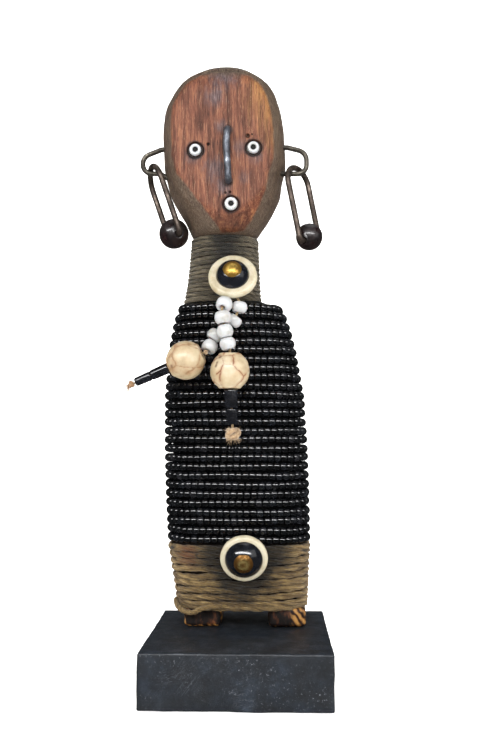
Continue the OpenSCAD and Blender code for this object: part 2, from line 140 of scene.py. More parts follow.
def lathe(profile, sides):  # profile of (height, radius); a closed loop if its first point comes back
    loop = profile[0] == profile[-1]
    rows = profile[:-1] if loop else profile
    points, faces, starts = [], [], []
    for h, r in rows:
        starts.append(len(points))
        if r < 1e-6:
            points.append(Vector((0, 0, h)))
        else:
            points += [Vector((r * math.cos(a), r * math.sin(a), h))
                       for a in (2 * math.pi * k / sides for k in range(sides))]
    pairs = list(zip(range(len(rows)), list(range(1, len(rows))) + ([0] if loop else [])))
    for a, b in pairs:
        ra, rb = rows[a][1] > 1e-6, rows[b][1] > 1e-6
        for k in range(sides):
            m = (k + 1) % sides
            if ra and rb:
                faces.append((starts[a] + k, starts[a] + m, starts[b] + m, starts[b] + k))
            elif rb:
                faces.append((starts[a], starts[b] + m, starts[b] + k))
            elif ra:
                faces.append((starts[a] + k, starts[a] + m, starts[b]))
    return points, faces


def aimed(points, centre, direction):  # turns a piece made on +Z towards a direction
    turn = Vector(direction).normalized().to_track_quat("Z", "Y")
    return [Vector(centre) + turn @ p for p in points]


def lumpy(points, centre, amount, size, seed):  # an uneven hand-made surface
    shift = Vector((seed * 7.3, seed * 3.1, seed * 5.7))
    out = []
    for p in points:
        away = p - Vector(centre)
        lift = amount * noise.noise(p / size + shift) if away.length > 1e-6 else 0.0
        out.append(p + away.normalized() * lift)
    return out


def makePiece(name, points, faces, finish, body, slotName, standsFor=(), sharp=50):
    mesh = bpy.data.meshes.new(name)
    mesh.from_pydata([tuple(p * mm) for p in points], [], faces)
    mesh.update()
    mesh.shade_smooth()
    mesh.set_sharp_from_angle(angle=math.radians(sharp))
    mesh.materials.append(finish)
    piece = bpy.data.objects.new(name, mesh)
    bpy.context.scene.collection.objects.link(piece)
    if body:
        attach(piece, body)
    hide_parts(*standsFor)
    return piece


def joined(*shells):  # several shells as one point and face list
    points, faces = [], []
    for p, f in shells:
        base = len(points)
        points += list(p)
        faces += [tuple(i + base for i in face) for face in f]
    return points, faces


# finishes

class Finish:  # a material with its nodes, written from the inside out
    def __init__(self, name, **sockets):
        self.material = bpy.data.materials.new(name)
        self.material.use_nodes = True
        self.tree = self.material.node_tree
        self.tree.nodes.clear()
        self.surface = add(self.tree, "ShaderNodeBsdfPrincipled")
        end = add(self.tree, "ShaderNodeOutputMaterial")
        self.tree.links.new(self.surface.outputs[0], end.inputs["Surface"])
        self.place = add(self.tree, "ShaderNodeTexCoord").outputs["Object"]
        for key, value in sockets.items():
            self.surface.inputs[key.replace("_", " ")].default_value = value

    def put(self, socket, value):
        self.tree.links.new(value, self.surface.inputs[socket])

    def mapped(self, scale, vector=None, location=(0, 0, 0), turn=(0, 0, 0)):
        return add(self.tree, "ShaderNodeMapping", {"Vector": vector or self.place, "Scale": scale,
                   "Location": location, "Rotation": turn}).outputs[0]

    def noise(self, scale, detail=4, rough=0.55, vector=None, bend=0.0):
        scales = scale if isinstance(scale, tuple) else (scale,) * 3
        return add(self.tree, "ShaderNodeTexNoise", {"Vector": self.mapped(scales, vector), "Scale": 1.0,
                   "Detail": detail, "Roughness": rough, "Distortion": bend}).outputs["Fac"]

    def ramp(self, value, stops):
        made = add(self.tree, "ShaderNodeValToRGB", {"Fac": value})
        band = made.color_ramp.elements
        while len(band) < len(stops):
            band.new(0.5)
        for element, (spot, shade) in zip(band, stops):
            element.position = spot
            element.color = paint(shade) if isinstance(shade, str) else (shade, shade, shade, 1)
        return made.outputs["Color"]

    def span(self, value, low, high, to=(0.0, 1.0)):
        return add(self.tree, "ShaderNodeMapRange", {"Value": value, "From Min": low, "From Max": high,
                   "To Min": to[0], "To Max": to[1]}, interpolation_type="SMOOTHSTEP").outputs[0]

    def plus(self, a, b):
        return calc(self.tree, "ADD", a, b)

    def minus(self, a, b):
        return calc(self.tree, "SUBTRACT", a, b)

    def times(self, a, b):
        return calc(self.tree, "MULTIPLY", a, b)

    def larger(self, a, b):
        return calc(self.tree, "MAXIMUM", a, b)

    def unsigned(self, a):
        return calc(self.tree, "ABSOLUTE", a)

    def blend(self, share, a, b, kind="MIX"):
        return add(self.tree, "ShaderNodeMix", {0: share, 6: paint(a) if isinstance(a, str) else a,
                   7: paint(b) if isinstance(b, str) else b}, data_type="RGBA", blend_type=kind).outputs[2]

    def bump(self, height, strength, depth, under=None):
        links = {"Height": height, "Strength": strength, "Distance": depth}
        if under:
            links["Normal"] = under
        return add(self.tree, "ShaderNodeBump", links).outputs[0]

    def axis(self, letter):
        return add(self.tree, "ShaderNodeSeparateXYZ", {0: self.place}).outputs["XYZ".index(letter)]

    def distance(self, point):  # from a place in millimetres
        return add(self.tree, "ShaderNodeVectorMath", {0: self.place, 1: tuple(c * mm for c in point)},
                   operation="DISTANCE").outputs["Value"]

    def attribute(self, name):
        return add(self.tree, "ShaderNodeAttribute", attribute_name=name).outputs["Fac"]


# the figure's levels and outlines, as in the CAD source
figure = dict(sole=22.5, hem=31.0, robe=59.0, shoulder=171.0, chin=201.5, crown=285.3, faceY=-3.0,
              robeW=67.5, robeD=37.6, headW=58.5, neckW=34.0, neckD=27.0, back=18.0, headY=17.0, headFront=30,
              headBack=20)
face = dict(eyes=[(-20.5, 238.8), (6.2, 239.6)], mouth=(-4.0, 213.4), eyeD=6.0, mouthD=6.5, noseX=-5.6,
            noseTop=249.5, noseL=27.0, noseOut=3.2, noseD=3.2)
cheek = dict(x=-28.7, z=228.3, across=-0.793, down=-0.609)  # where the flat face ends at the lower left
nailHoles = [  # x, z, radius of the dark spot of painted shade, radius drilled (0 for a spot without a hole)
    (-14.6, 241.6, 0.8, 0.7), (3.6, 245.4, 1.1, 1.1), (5.6, 246.0, 0.5, 0), (-6.5, 218.7, 0.6, 0.7),
    (-4.4, 219.0, 0.6, 0.6), (16.8, 242.6, 0.8, 0.7), (-3.0, 208.2, 0.6, 0)]
woodMarks = dict(  # place, reach, share; the first list places spots of painted highlight on the upper right of the face
    paintedHighlight=[((18, -3, 262), 28, 0.55), ((20, -3, 243), 22, 0.4), ((9, -3, 272), 18, 0.3)],
    rubbed=[((-7, -3, 275), 11, 0.9), ((-12, -3, 264), 8, 0.75), ((-8.6, -3, 250), 5, 0.6),
            ((-11, -3, 230), 9, 0.7), ((-8, -3, 221), 6, 0.7), ((0, -3, 240), 6, 0.55),
            ((-21, -3, 237), 7, 0.6), ((7, -3, 236), 6, 0.55), ((2, -3, 226), 5, 0.4)])


def woodFinish():
    f = Finish("carvedWood", Roughness=0.55, Specular_IOR_Level=0.22)
    grain = f.noise((460, 460, 42), 9, 0.7, bend=0.5)
    streak = f.noise((1900, 1900, 150), 6, 0.78)
    colour = f.ramp(grain, [(0.26, "#28150d"), (0.42, "#4b2819"), (0.56, "#6c3d28"), (0.74, "#93623c")])
    colour = f.blend(f.times(f.span(streak, 0.53, 0.68), 0.5), colour, "#a97d5c")
    colour = f.blend(f.times(f.span(streak, 0.48, 0.34), 0.75), colour, "#22110c")
    # painted highlight: golden patches at the upper right and down the right edge, broken up by the grain
    # streaks
    for spot, reach, share in woodMarks["paintedHighlight"]:
        # painted highlight, laid into the wood colour
        near = f.plus(f.distance(spot), f.times(f.noise((420, 420, 60), 5, 0.65), 0.018))
        paintedHighlight = f.times(f.span(near, reach * mm, reach * 0.5 * mm), f.span(streak, 0.36, 0.6, (0.15, 1.0)))
        colour = f.blend(f.times(paintedHighlight, share), colour, "#9c7036")
    # grey rubbed patches over the brow, by the nose and round the eyes
    patch = f.noise((330, 330, 190), 6, 0.68)
    for spot, size, share in woodMarks["rubbed"]:
        blotch = f.plus(f.distance(spot), f.times(patch, size * 1.5 * mm))
        colour = f.blend(f.times(f.span(blotch, size * 1.7 * mm, size * 0.8 * mm), share),
                         colour, f.ramp(streak, [(0.36, "#2c2325"), (0.52, "#4b3f42"), (0.66, "#6f6062")]))
    # the chin darker towards its bottom, and painted shade on the sides behind the flat face and below the
    # lower left cheek line
    x, z = f.axis("X"), f.axis("Z")
    chin = f.times(f.span(z, 0.2125, 0.2040), 0.5)
    colour = f.blend(chin, colour, "#2f1c13")
    ragged = f.times(f.minus(patch, 0.5), 0.0016)
    drop = f.times(f.larger(f.minus(0.222, z), 0.0), 0.3)
    # painted shade: the sides set back from the flat face, and the face beyond the lower left cheek line, are
    # painted darker
    side = f.span(f.minus(f.plus(f.axis("Y"), ragged), drop), -0.00285, -0.0014)
    beyond = f.plus(f.times(f.minus(x, cheek["x"] * mm), cheek["across"]),
                    f.times(f.minus(z, cheek["z"] * mm), cheek["down"]))
    side = f.larger(side, f.span(f.plus(beyond, ragged), -0.0004, 0.0010))
    colour = f.blend(f.times(side, 0.93), colour,
                     f.ramp(streak, [(0.34, "#2a1f18"), (0.5, "#493d32"), (0.66, "#665a4b")]))
    # painted shade: dark rings in and round the eye and mouth pockets, and dark spots of painted shade at the
    # small nail holes
    for x, z in face["eyes"] + [face["mouth"]]:
        ring = f.plus(f.distance((x, -2.8, z)), f.times(patch, 0.0016))
        colour = f.blend(f.times(f.span(ring, 0.0060, 0.0044), 0.85), colour, "#1a1415")
    pits = None
    # painted shade inside and round each nail hole
    for x, z, r, drilled in nailHoles:
        spot = f.span(f.distance((x, figure["faceY"], z)), r * 1.15 * mm, r * 0.5 * mm)
        pits = spot if pits is None else f.larger(pits, spot)
    colour = f.blend(f.times(pits, 0.85), colour, "#140c0a")
    # painted shade: dark spots where the nose wire's ends go into the face
    for z in (face["noseTop"] - 1.2, face["noseTop"] - face["noseL"] + 1.2):
        wireHoleShade = f.distance((face["noseX"] + 0.2, figure["faceY"], z))
        colour = f.blend(f.times(f.span(wireHoleShade, 0.0030, 0.0018), 0.7), colour, "#1c1311")
    # the feet: stained black-brown, rubbed to bare wood along their edges and on the right foot's outer part
    low = f.span(f.axis("Z"), 0.0318, 0.0306)
    x, z = f.axis("X"), f.axis("Z")
    cloud = f.noise((380, 380, 160), 6, 0.65)
    stain = f.ramp(cloud, [(0.34, "#0b0706"), (0.52, "#170d09"), (0.62, "#4a2814"), (0.74, "#7a4a25")])
    ragged = f.times(f.minus(cloud, 0.5), 0.006)
    edge = f.span(f.plus(f.unsigned(f.plus(x, 0.0168)), ragged), 0.0074, 0.0082)
    edge = f.times(edge, f.span(x, 0.002, -0.002))
    edge = f.times(f.larger(edge, f.span(f.minus(z, ragged), 0.0238, 0.0229)), 0.8)
    outer = f.span(f.plus(x, ragged), 0.0225, 0.0245)
    slanted = f.mapped((1, 1, 1), turn=(0, math.radians(38), 0))
    cuts = add(f.tree, "ShaderNodeTexWave", {"Vector": slanted, "Scale": 120.0, "Distortion": 5.5,
               "Detail": 4.0, "Detail Scale": 1.6}, bands_direction="X").outputs["Fac"]
    bare = f.ramp(f.times(cuts, f.span(cloud, 0.3, 0.6, (0.55, 1.15))),
                  [(0.1, "#24140a"), (0.45, "#6f4a24"), (0.9, "#a0743c")])
    feet = f.blend(f.larger(edge, outer), stain, bare)
    colour = f.blend(f.span(f.axis("Z"), 0.1745, 0.1735), colour, "#0b0908")  # dyed under the beads
    colour = f.blend(f.span(f.axis("Z"), 0.0600, 0.0590), colour, "#1f160e")
    f.put("Base Color", f.blend(low, colour, feet))
    f.put("Roughness", f.span(grain, 0.3, 0.7, (0.64, 0.46)))
    fine = f.bump(streak, 0.5, 0.0003)
    rough = f.bump(grain, 0.4, 0.0005, fine)
    f.put("Normal", f.bump(pits, 0.9, -0.0011, rough))
    return f.material


def blockFinish():
    f = Finish("blackPaintedWood", Roughness=0.5, Coat_Weight=0.1, Coat_Roughness=0.35)
    cloud = f.noise(95, 6, 0.65)
    colour = f.ramp(cloud, [(0.3, "#0b1016"), (0.55, "#171e27"), (0.75, "#28313d")])
    fleck = f.noise(900, 6, 0.8)
    flecks = f.times(f.span(fleck, 0.585, 0.66), f.span(f.noise(60, 3), 0.40, 0.58))
    colour = f.blend(flecks, colour, "#6b7078")
    scratch = None
    for turn, spot in ((0.25, 0), (-0.5, 5), (0.9, 9)):  # three runs of thin scratches, each at its own slant
        line = f.noise((60, 500, 1900), 2, 0.5, f.mapped((1, 1, 1), turn=(0, turn, 0), location=(spot, 0, 0)))
        one = f.times(f.span(f.unsigned(f.minus(line, 0.5)), 0.012, 0.003),
                     f.span(f.noise(45, 3, 0.5, f.mapped((1, 1, 1), location=(spot, 3, 1))), 0.56, 0.66))
        scratch = one if scratch is None else f.larger(scratch, one)
    colour = f.blend(f.times(scratch, 0.55), colour, "#565b63")
    # the paint is rubbed thin along the top edges
    x, y, z = f.axis("X"), f.axis("Y"), f.axis("Z")
    rimX = f.span(f.unsigned(x), 0.0384, 0.0388)
    rimY = f.span(f.unsigned(y), 0.0394, 0.0398)
    rim = f.times(f.larger(rimX, rimY), f.span(z, 0.0218, 0.0222))
    worn = f.times(rim, f.span(f.noise(210, 5, 0.7), 0.45, 0.6, (0.05, 0.35)))
    f.put("Base Color", f.blend(worn, colour, "#6e7279"))
    f.put("Roughness", f.span(cloud, 0.3, 0.7, (0.62, 0.4)))
    f.put("Normal", f.bump(f.noise(700, 6, 0.75), 0.4, 0.0004, f.bump(f.noise(60, 4), 0.5, 0.0007)))
    return f.material


def twineFinish(name, pale, middle, dark, stainDark, neck):
    f = Finish(name, Roughness=0.9, Specular_IOR_Level=0.12, Sheen_Weight=0.12, Sheen_Roughness=0.5)
    along, ply = f.attribute("along"), f.attribute("ply")
    mix = add(f.tree, "ShaderNodeCombineXYZ", {0: along, 1: f.attribute("around"), 2: ply}).outputs[0]
    fibre = f.noise((190, 13, 3), 7, 0.8, mix)
    broad = f.noise((22, 0.6, 2), 5, 0.65, mix)
    colour = f.ramp(fibre, [(0.36, dark), (0.49, middle), (0.63, pale)])
    colour = f.blend(f.times(f.span(broad, 0.45, 0.62), 0.6), colour, middle, "MULTIPLY")
    x, z = f.axis("X"), f.axis("Z")
    blot = f.noise(150, 5, 0.65)
    if neck:  # darkest in the middle of the front
        stain = f.span(f.plus(f.unsigned(f.plus(x, 0.007)), f.times(blot, 0.012)),
                       0.019, 0.008)
        stain = f.times(stain, f.span(z, 0.182, 0.194, (0.45, 1.0)))
    else:     # black paint has run down from the beads and round the medallion
        top = f.span(f.minus(z, f.times(blot, 0.012)), 0.0385, 0.0455)
        ring = f.span(f.plus(f.distance((1.5, -2, 50)), f.times(blot, 0.018)), 0.0300, 0.0195)
        middleRun = f.times(f.span(f.unsigned(f.minus(x, 0.002)), 0.027, 0.015), top)
        rest = f.times(top, f.span(f.noise(120, 4, 0.6), 0.52, 0.64))
        stain = f.larger(ring, f.larger(middleRun, rest))
        rust = f.span(f.plus(f.distance((-24, 0, 55)), f.times(blot, 0.008)), 0.014, 0.005)
        colour = f.blend(f.times(rust, 0.75), colour, "#4a2114")
    f.put("Base Color", f.blend(f.times(stain, 0.92), colour, stainDark))
    f.put("Normal", f.bump(fibre, 1.0, 0.0008))
    return f.material


def glassFinish(name, deep, shine, rough):
    f = Finish(name, Roughness=rough, IOR=1.52, Coat_Weight=0.5, Coat_Roughness=0.06)
    colour = f.ramp(f.noise(170, 5), [(0.35, deep), (0.7, shine)])
    f.put("Base Color", colour)
    f.put("Roughness", f.span(f.noise(420, 4, 0.6), 0.3, 0.7, (rough * 0.7, rough * 1.7)))
    f.put("Normal", f.bump(f.noise(520, 3), 0.12, 0.0003))
    return f.material


def seedFinish():
    f = Finish("seedGlass", Roughness=0.12, IOR=1.7)
    tone = f.attribute("tone")
    colour = f.ramp(tone, [(0.0, "#030304"), (0.6, "#07080a"), (0.9, "#0d0f13"), (1.0, "#151518")])
    dust = f.span(f.noise(300, 6, 0.7), 0.58, 0.75)
    f.put("Base Color", f.blend(f.times(dust, 0.4), colour, "#2b2a28"))
    f.put("Roughness", f.plus(f.span(tone, 0.0, 1.0, (0.08, 0.17)), f.times(dust, 0.3)))
    f.put("Normal", f.bump(f.noise(1300, 3), 0.1, 0.0002))
    return f.material


def creamFinish():
    f = Finish("creamDisc", Roughness=0.38, Coat_Weight=0.2, Coat_Roughness=0.15, Subsurface_Weight=0.05)
    colour = f.ramp(f.noise(130, 6, 0.65), [(0.3, "#94876a"), (0.5, "#aea58e"), (0.75, "#bab3a2")])
    vein = f.span(f.unsigned(f.minus(f.noise(75, 3, 0.5, bend=1.4), 0.5)), 0.012, 0.003)
    f.put("Base Color", f.blend(f.times(vein, 0.35), colour, "#9c8258"))
    f.put("Normal", f.bump(f.noise(600, 4), 0.12, 0.0003))
    return f.material


def brassFinish(name, pale, brown, centre):
    f = Finish(name, Metallic=0.85, Roughness=0.34)
    ring = f.plus(f.distance(centre), f.times(f.noise(700, 5, 0.7), 0.0022))
    colour = f.ramp(f.span(ring, 0.0016, 0.0048), [(0.0, brown), (0.45, pale), (1.0, brown)])
    colour = f.blend(f.times(f.span(f.noise(520, 6, 0.7), 0.5, 0.68), 0.6), colour, "#3b2b18")
    f.put("Base Color", colour)
    f.put("Roughness", f.span(f.noise(600, 5, 0.7), 0.35, 0.7, (0.26, 0.6)))
    f.put("Normal", f.bump(f.noise(900, 4), 0.2, 0.0003))
    return f.material


def ironFinish(name, dark, middle, pale):
    f = Finish(name, Metallic=0.75, Roughness=0.4)
    cloud = f.noise(210, 7, 0.68)
    colour = f.ramp(cloud, [(0.3, dark), (0.55, middle), (0.78, pale)])
    f.put("Base Color", colour)
    f.put("Roughness", f.span(cloud, 0.3, 0.75, (0.55, 0.3)))
    f.put("Normal", f.bump(f.noise(800, 5, 0.7), 0.3, 0.0003, f.bump(f.noise(170, 3), 0.35, 0.0006)))
    return f.material


def whiteFinish():
    f = Finish("whiteGlaze", Roughness=0.3, Coat_Weight=0.3, Coat_Roughness=0.12, Subsurface_Weight=0.06)
    colour = f.ramp(f.noise(210, 6, 0.6), [(0.28, "#8e897f"), (0.45, "#a6a5a4"), (0.7, "#b0b1b6")])
    grime = f.times(f.span(f.noise(420, 6, 0.75), 0.58, 0.72), 0.35)
    f.put("Base Color", f.blend(grime, colour, "#9b8767"))
    f.put("Normal", f.bump(f.noise(420, 4), 0.15, 0.0003))
    return f.material


def stoneFinish(name, vein, strength, size, shift, pitsAt):
    f = Finish(name, Roughness=0.4, Coat_Weight=0.15, Coat_Roughness=0.2, Subsurface_Weight=0.04)
    cloud = f.noise(110, 7, 0.65)
    colour = f.ramp(cloud, [(0.28, "#8f7d60"), (0.47, "#a89779"), (0.7, "#b6aa93")])
    wander = add(f.tree, "ShaderNodeTexNoise", {"Vector": f.mapped((1, 1, 1), location=shift), "Scale": 160.0,
                 "Detail": 3.0}).outputs["Color"]
    bent = add(f.tree, "ShaderNodeVectorMath", {0: wander, 3: 0.0034}, operation="SCALE").outputs[0]
    moved = add(f.tree, "ShaderNodeVectorMath", {0: f.mapped((1, 1, 1), location=shift), 1: bent},
                operation="ADD").outputs[0]
    cells = add(f.tree, "ShaderNodeTexVoronoi", {"Vector": moved, "Scale": size},
                feature="DISTANCE_TO_EDGE").outputs[0]
    thin = f.span(cells, 0.045, 0.0)
    soft = f.span(cells, 0.16, 0.0)
    broken = f.span(f.noise(170, 4, 0.6), 0.36, 0.55)
    colour = f.blend(f.times(f.times(soft, broken), strength * 0.6), colour, "#8a5f3a")
    colour = f.blend(f.times(f.times(thin, broken), strength), colour, vein)
    pits = None
    for spot in pitsAt:
        one = f.span(f.plus(f.distance(spot), f.times(f.noise(900, 3), 0.0009)), 0.0016, 0.0008)
        pits = one if pits is None else f.larger(pits, one)
    colour = f.blend(f.times(pits, 0.8), colour, "#5d4530")
    f.put("Base Color", colour)
    f.put("Normal", f.bump(f.larger(thin, pits), 0.35, -0.0004, f.bump(f.noise(330, 5), 0.14, 0.0003)))
    return f.material


def fibreFinish(name, pale, middle, dark):
    f = Finish(name, Roughness=0.9, Sheen_Weight=0.3)
    colour = f.ramp(f.noise((900, 900, 900), 5, 0.7), [(0.3, dark), (0.5, middle), (0.7, pale)])
    f.put("Base Color", colour)
    f.put("Normal", f.bump(f.noise(1600, 4, 0.7), 0.5, 0.0003))
    return f.material


def plainFinish(name, code, rough):
    f = Finish(name, Roughness=rough)
    f.put("Base Color", f.blend(f.times(f.noise(400, 4), 0.3), code, "#0c0a09"))
    return f.material


wood = woodFinish()
blockPaint = blockFinish()
hemJute = twineFinish("hemTwine", "#a89060", "#6c5736", "#241b0e", "#0b0a08", False)
neckJute = twineFinish("neckTwine", "#857a62", "#4f4738", "#1e1a14", "#100f0c", True)
seedGlass = seedFinish()
domeGlass = glassFinish("blackDome", "#08090c", "#11131a", 0.13)
tubeGlass = glassFinish("blackTube", "#090a0d", "#15171d", 0.16)
ballGlass = glassFinish("darkRedBall", "#0b0507", "#1e0c0c", 0.34)
cream = creamFinish()
ironGrey = ironFinish("earIron", "#2b2722", "#4d4840", "#847d70")
ironBrown = ironFinish("hoopIron", "#2b2421", "#4c423b", "#7b6e64")
ironNose = ironFinish("noseIron", "#2a2b2f", "#5c6068", "#9aa0a8")
whiteGlaze = whiteFinish()
stringFibre = fibreFinish("stringFibre", "#b39d76", "#8d7550", "#5f4b30")
knotFibre = fibreFinish("knotFibre", "#baa685", "#93795a", "#624a30")
darkKnotFibre = fibreFinish("darkKnotFibre", "#b08b63", "#80603f", "#4c3421")
pinBlack = plainFinish("pinBlack", "#070606", 0.85)
print("finishes made")


# camera, light and floor

studio = dict(eye=(0.0158, -0.3575, 0.1066), tip=94.6, turn=1.8, lens=38.1, room=0.29, roomShine=0.06,
              floor="#f4f3f1", floorPale="#f8f7f6", floorGlow=0.75)
lights = dict(
    keyBox=dict(place=(-0.06, -0.60, 0.42), target=(0, 0, 0.12), width=1.2, height=0.035, power=2.2),
    fillBox=dict(place=(0.62, -0.38, 0.36), target=(0, 0, 0.15), width=0.5, height=0.5, power=0.75),
    topBox=dict(place=(0.05, 0.12, 0.85), target=(0, 0, 0.1), width=0.6, height=0.6, power=1.0),
    glintBox=dict(place=(-0.05, -0.6, 0.44), target=(0, 0, 0.12), width=1.4, height=0.13, power=6.5))
camera = bpy.data.objects.new("camera", bpy.data.cameras.new("camera"))
bpy.context.scene.collection.objects.link(camera)
camera.location = studio["eye"]
camera.rotation_euler = (math.radians(studio["tip"]), 0, math.radians(studio["turn"]))
camera.data.lens, camera.data.sensor_width = studio["lens"], 36.0
bpy.context.scene.camera = camera


def softbox(name, place, target, width, height, power):
    light = bpy.data.lights.new(name, "AREA")
    light.shape, light.size, light.size_y, light.energy = "RECTANGLE", width, height, power
    lamp = bpy.data.objects.new(name, light)
    lamp.location = place
    lamp.rotation_euler = (Vector(target) - Vector(place)).to_track_quat("-Z", "Y").to_euler()
    bpy.context.scene.collection.objects.link(lamp)
    return lamp


lamps = {name: softbox(name, **values) for name, values in lights.items()}
lamps["glintBox"].visible_diffuse = False  # a long strip that only shows as dashes on shiny things
world = bpy.data.worlds.new("room")
world.use_nodes = True
sky = world.node_tree.nodes["Background"]
sky.inputs[0].default_value = (1.0, 1.0, 1.0, 1.0)
rays = add(world.node_tree, "ShaderNodeLightPath")
dim = add(world.node_tree, "ShaderNodeMapRange", {"Value": rays.outputs["Is Glossy Ray"],
          "To Min": studio["room"], "To Max": studio["roomShine"]})
world.node_tree.links.new(dim.outputs[0], sky.inputs[1])
bpy.context.scene.world = world
bpy.context.scene.view_settings.view_transform = "Standard"

bowl = dict(flat=900.0, curve=500.0, top=1900.0)  # a round floor that curves up into a wall
profile = [(0.0, 0.0), (0.0, bowl["flat"])]
profile += [(bowl["curve"] * (1 - math.cos(a)), bowl["flat"] + bowl["curve"] * math.sin(a))
            for a in (math.radians(9 * k) for k in range(1, 11))]
points, faces = lathe(profile + [(bowl["top"], bowl["flat"] + bowl["curve"])], 96)
mesh = bpy.data.meshes.new("paleFloor")
mesh.from_pydata([(p.x * mm, p.y * mm, p.z * mm - 0.0002) for p in points], [], [f[::-1] for f in faces])
mesh.shade_smooth()
paleFloor = bpy.data.objects.new("paleFloor", mesh)
bpy.context.scene.collection.objects.link(paleFloor)
paleFloor.visible_glossy = False
paper = Finish("palePaper", Roughness=0.9, Emission_Color=(1, 1, 1, 1), Emission_Strength=studio["floorGlow"])
paper.put("Base Color", paper.ramp(paper.noise(3, 3), [(0.3, studio["floor"]), (0.7, studio["floorPale"])]))
mesh.materials.append(paper.material)
print("camera, light and floor made")


# Geometry Nodes trees for twine and seed beads

def newTree(name, sockets):
    tree = bpy.data.node_groups.new(name, "GeometryNodeTree")
    tree.interface.new_socket("Geometry", in_out="INPUT", socket_type="NodeSocketGeometry")
    for label, kind, value in sockets:
        made = tree.interface.new_socket(label, in_out="INPUT", socket_type=kind)
        if value is not None:
            made.default_value = value
    tree.interface.new_socket("Geometry", in_out="OUTPUT", socket_type="NodeSocketGeometry")
    return tree, add(tree, "NodeGroupInput"), add(tree, "NodeGroupOutput")


def scaled(t, vector, factor):
    return add(t, "ShaderNodeVectorMath", {0: vector, 3: factor}, operation="SCALE").outputs[0]


def storedValue(t, geometry, label, value, domain="POINT"):  # an attribute that a finish reads
    return add(t, "GeometryNodeStoreNamedAttribute", {0: geometry, "Name": label, "Value": value},
               data_type="FLOAT", domain=domain).outputs[0]


def endTree(t, geometry, finish, end):
    real = add(t, "GeometryNodeRealizeInstances", {0: geometry})
    done = add(t, "GeometryNodeSetMaterial", {0: real.outputs[0], "Material": finish})
    t.links.new(done.outputs[0], end.inputs[0])
    return t


def twineTree():  # plies twisted round a line
    t, start, end = newTree("twistedTwine", [
        ("Twine Diameter", "NodeSocketFloat", 0.003), ("Plies", "NodeSocketInt", 3),
        ("Twist Length", "NodeSocketFloat", 0.007), ("Step", "NodeSocketFloat", 0.0006),
        ("Ply Sides", "NodeSocketInt", 6), ("Fuzz", "NodeSocketFloat", 0.00008),
        ("Finish", "NodeSocketMaterial", None)])
    g = start.outputs
    line = add(t, "GeometryNodeResampleCurve", {0: g["Geometry"], "Length": g["Step"]}, mode="LENGTH")
    plies = add(t, "GeometryNodeDuplicateElements", {0: line.outputs[0], "Amount": g["Plies"]},
                domain="SPLINE")
    along = add(t, "GeometryNodeSplineParameter").outputs["Length"]
    share = calc(t, "DIVIDE", plies.outputs[1], g["Plies"])
    turns = calc(t, "ADD", calc(t, "DIVIDE", along, g["Twist Length"]), share)
    turn = calc(t, "MULTIPLY", turns, 2 * math.pi)
    normal = add(t, "GeometryNodeInputNormal").outputs["Normal"]
    tangent = add(t, "GeometryNodeInputTangent").outputs[0]
    across = add(t, "ShaderNodeVectorMath", {0: tangent, 1: normal}, operation="CROSS_PRODUCT").outputs[0]
    offset = calc(t, "MULTIPLY", g["Twine Diameter"], 0.215)
    one = scaled(t, normal, calc(t, "MULTIPLY", calc(t, "COSINE", turn), offset))
    two = scaled(t, across, calc(t, "MULTIPLY", calc(t, "SINE", turn), offset))
    move = add(t, "ShaderNodeVectorMath", {0: one, 1: two}, operation="ADD").outputs[0]
    kept = storedValue(t, plies.outputs[0], "along", along)
    kept = storedValue(t, kept, "ply", plies.outputs[1])
    moved = add(t, "GeometryNodeSetPosition", {0: kept, "Offset": move})
    ring = add(t, "GeometryNodeCurvePrimitiveCircle", {"Resolution": g["Ply Sides"],
               "Radius": calc(t, "MULTIPLY", g["Twine Diameter"], 0.3)})
    factor = add(t, "GeometryNodeSplineParameter").outputs["Factor"]
    around = storedValue(t, ring.outputs[0], "around", factor)
    skin = add(t, "GeometryNodeCurveToMesh", {"Curve": moved.outputs[0], "Profile Curve": around,
               "Fill Caps": True})
    hairy = add(t, "ShaderNodeTexNoise", {"Scale": 900.0, "Detail": 2.0}).outputs["Fac"]
    outwards = add(t, "GeometryNodeInputNormal").outputs["Normal"]
    lift = scaled(t, outwards, calc(t, "MULTIPLY", calc(t, "SUBTRACT", hairy, 0.5), g["Fuzz"]))
    rough = add(t, "GeometryNodeSetPosition", {0: skin.outputs[0], "Offset": lift})
    smooth = add(t, "GeometryNodeSetShadeSmooth", {0: rough.outputs[0]})
    return endTree(t, smooth.outputs[0], g["Finish"], end)


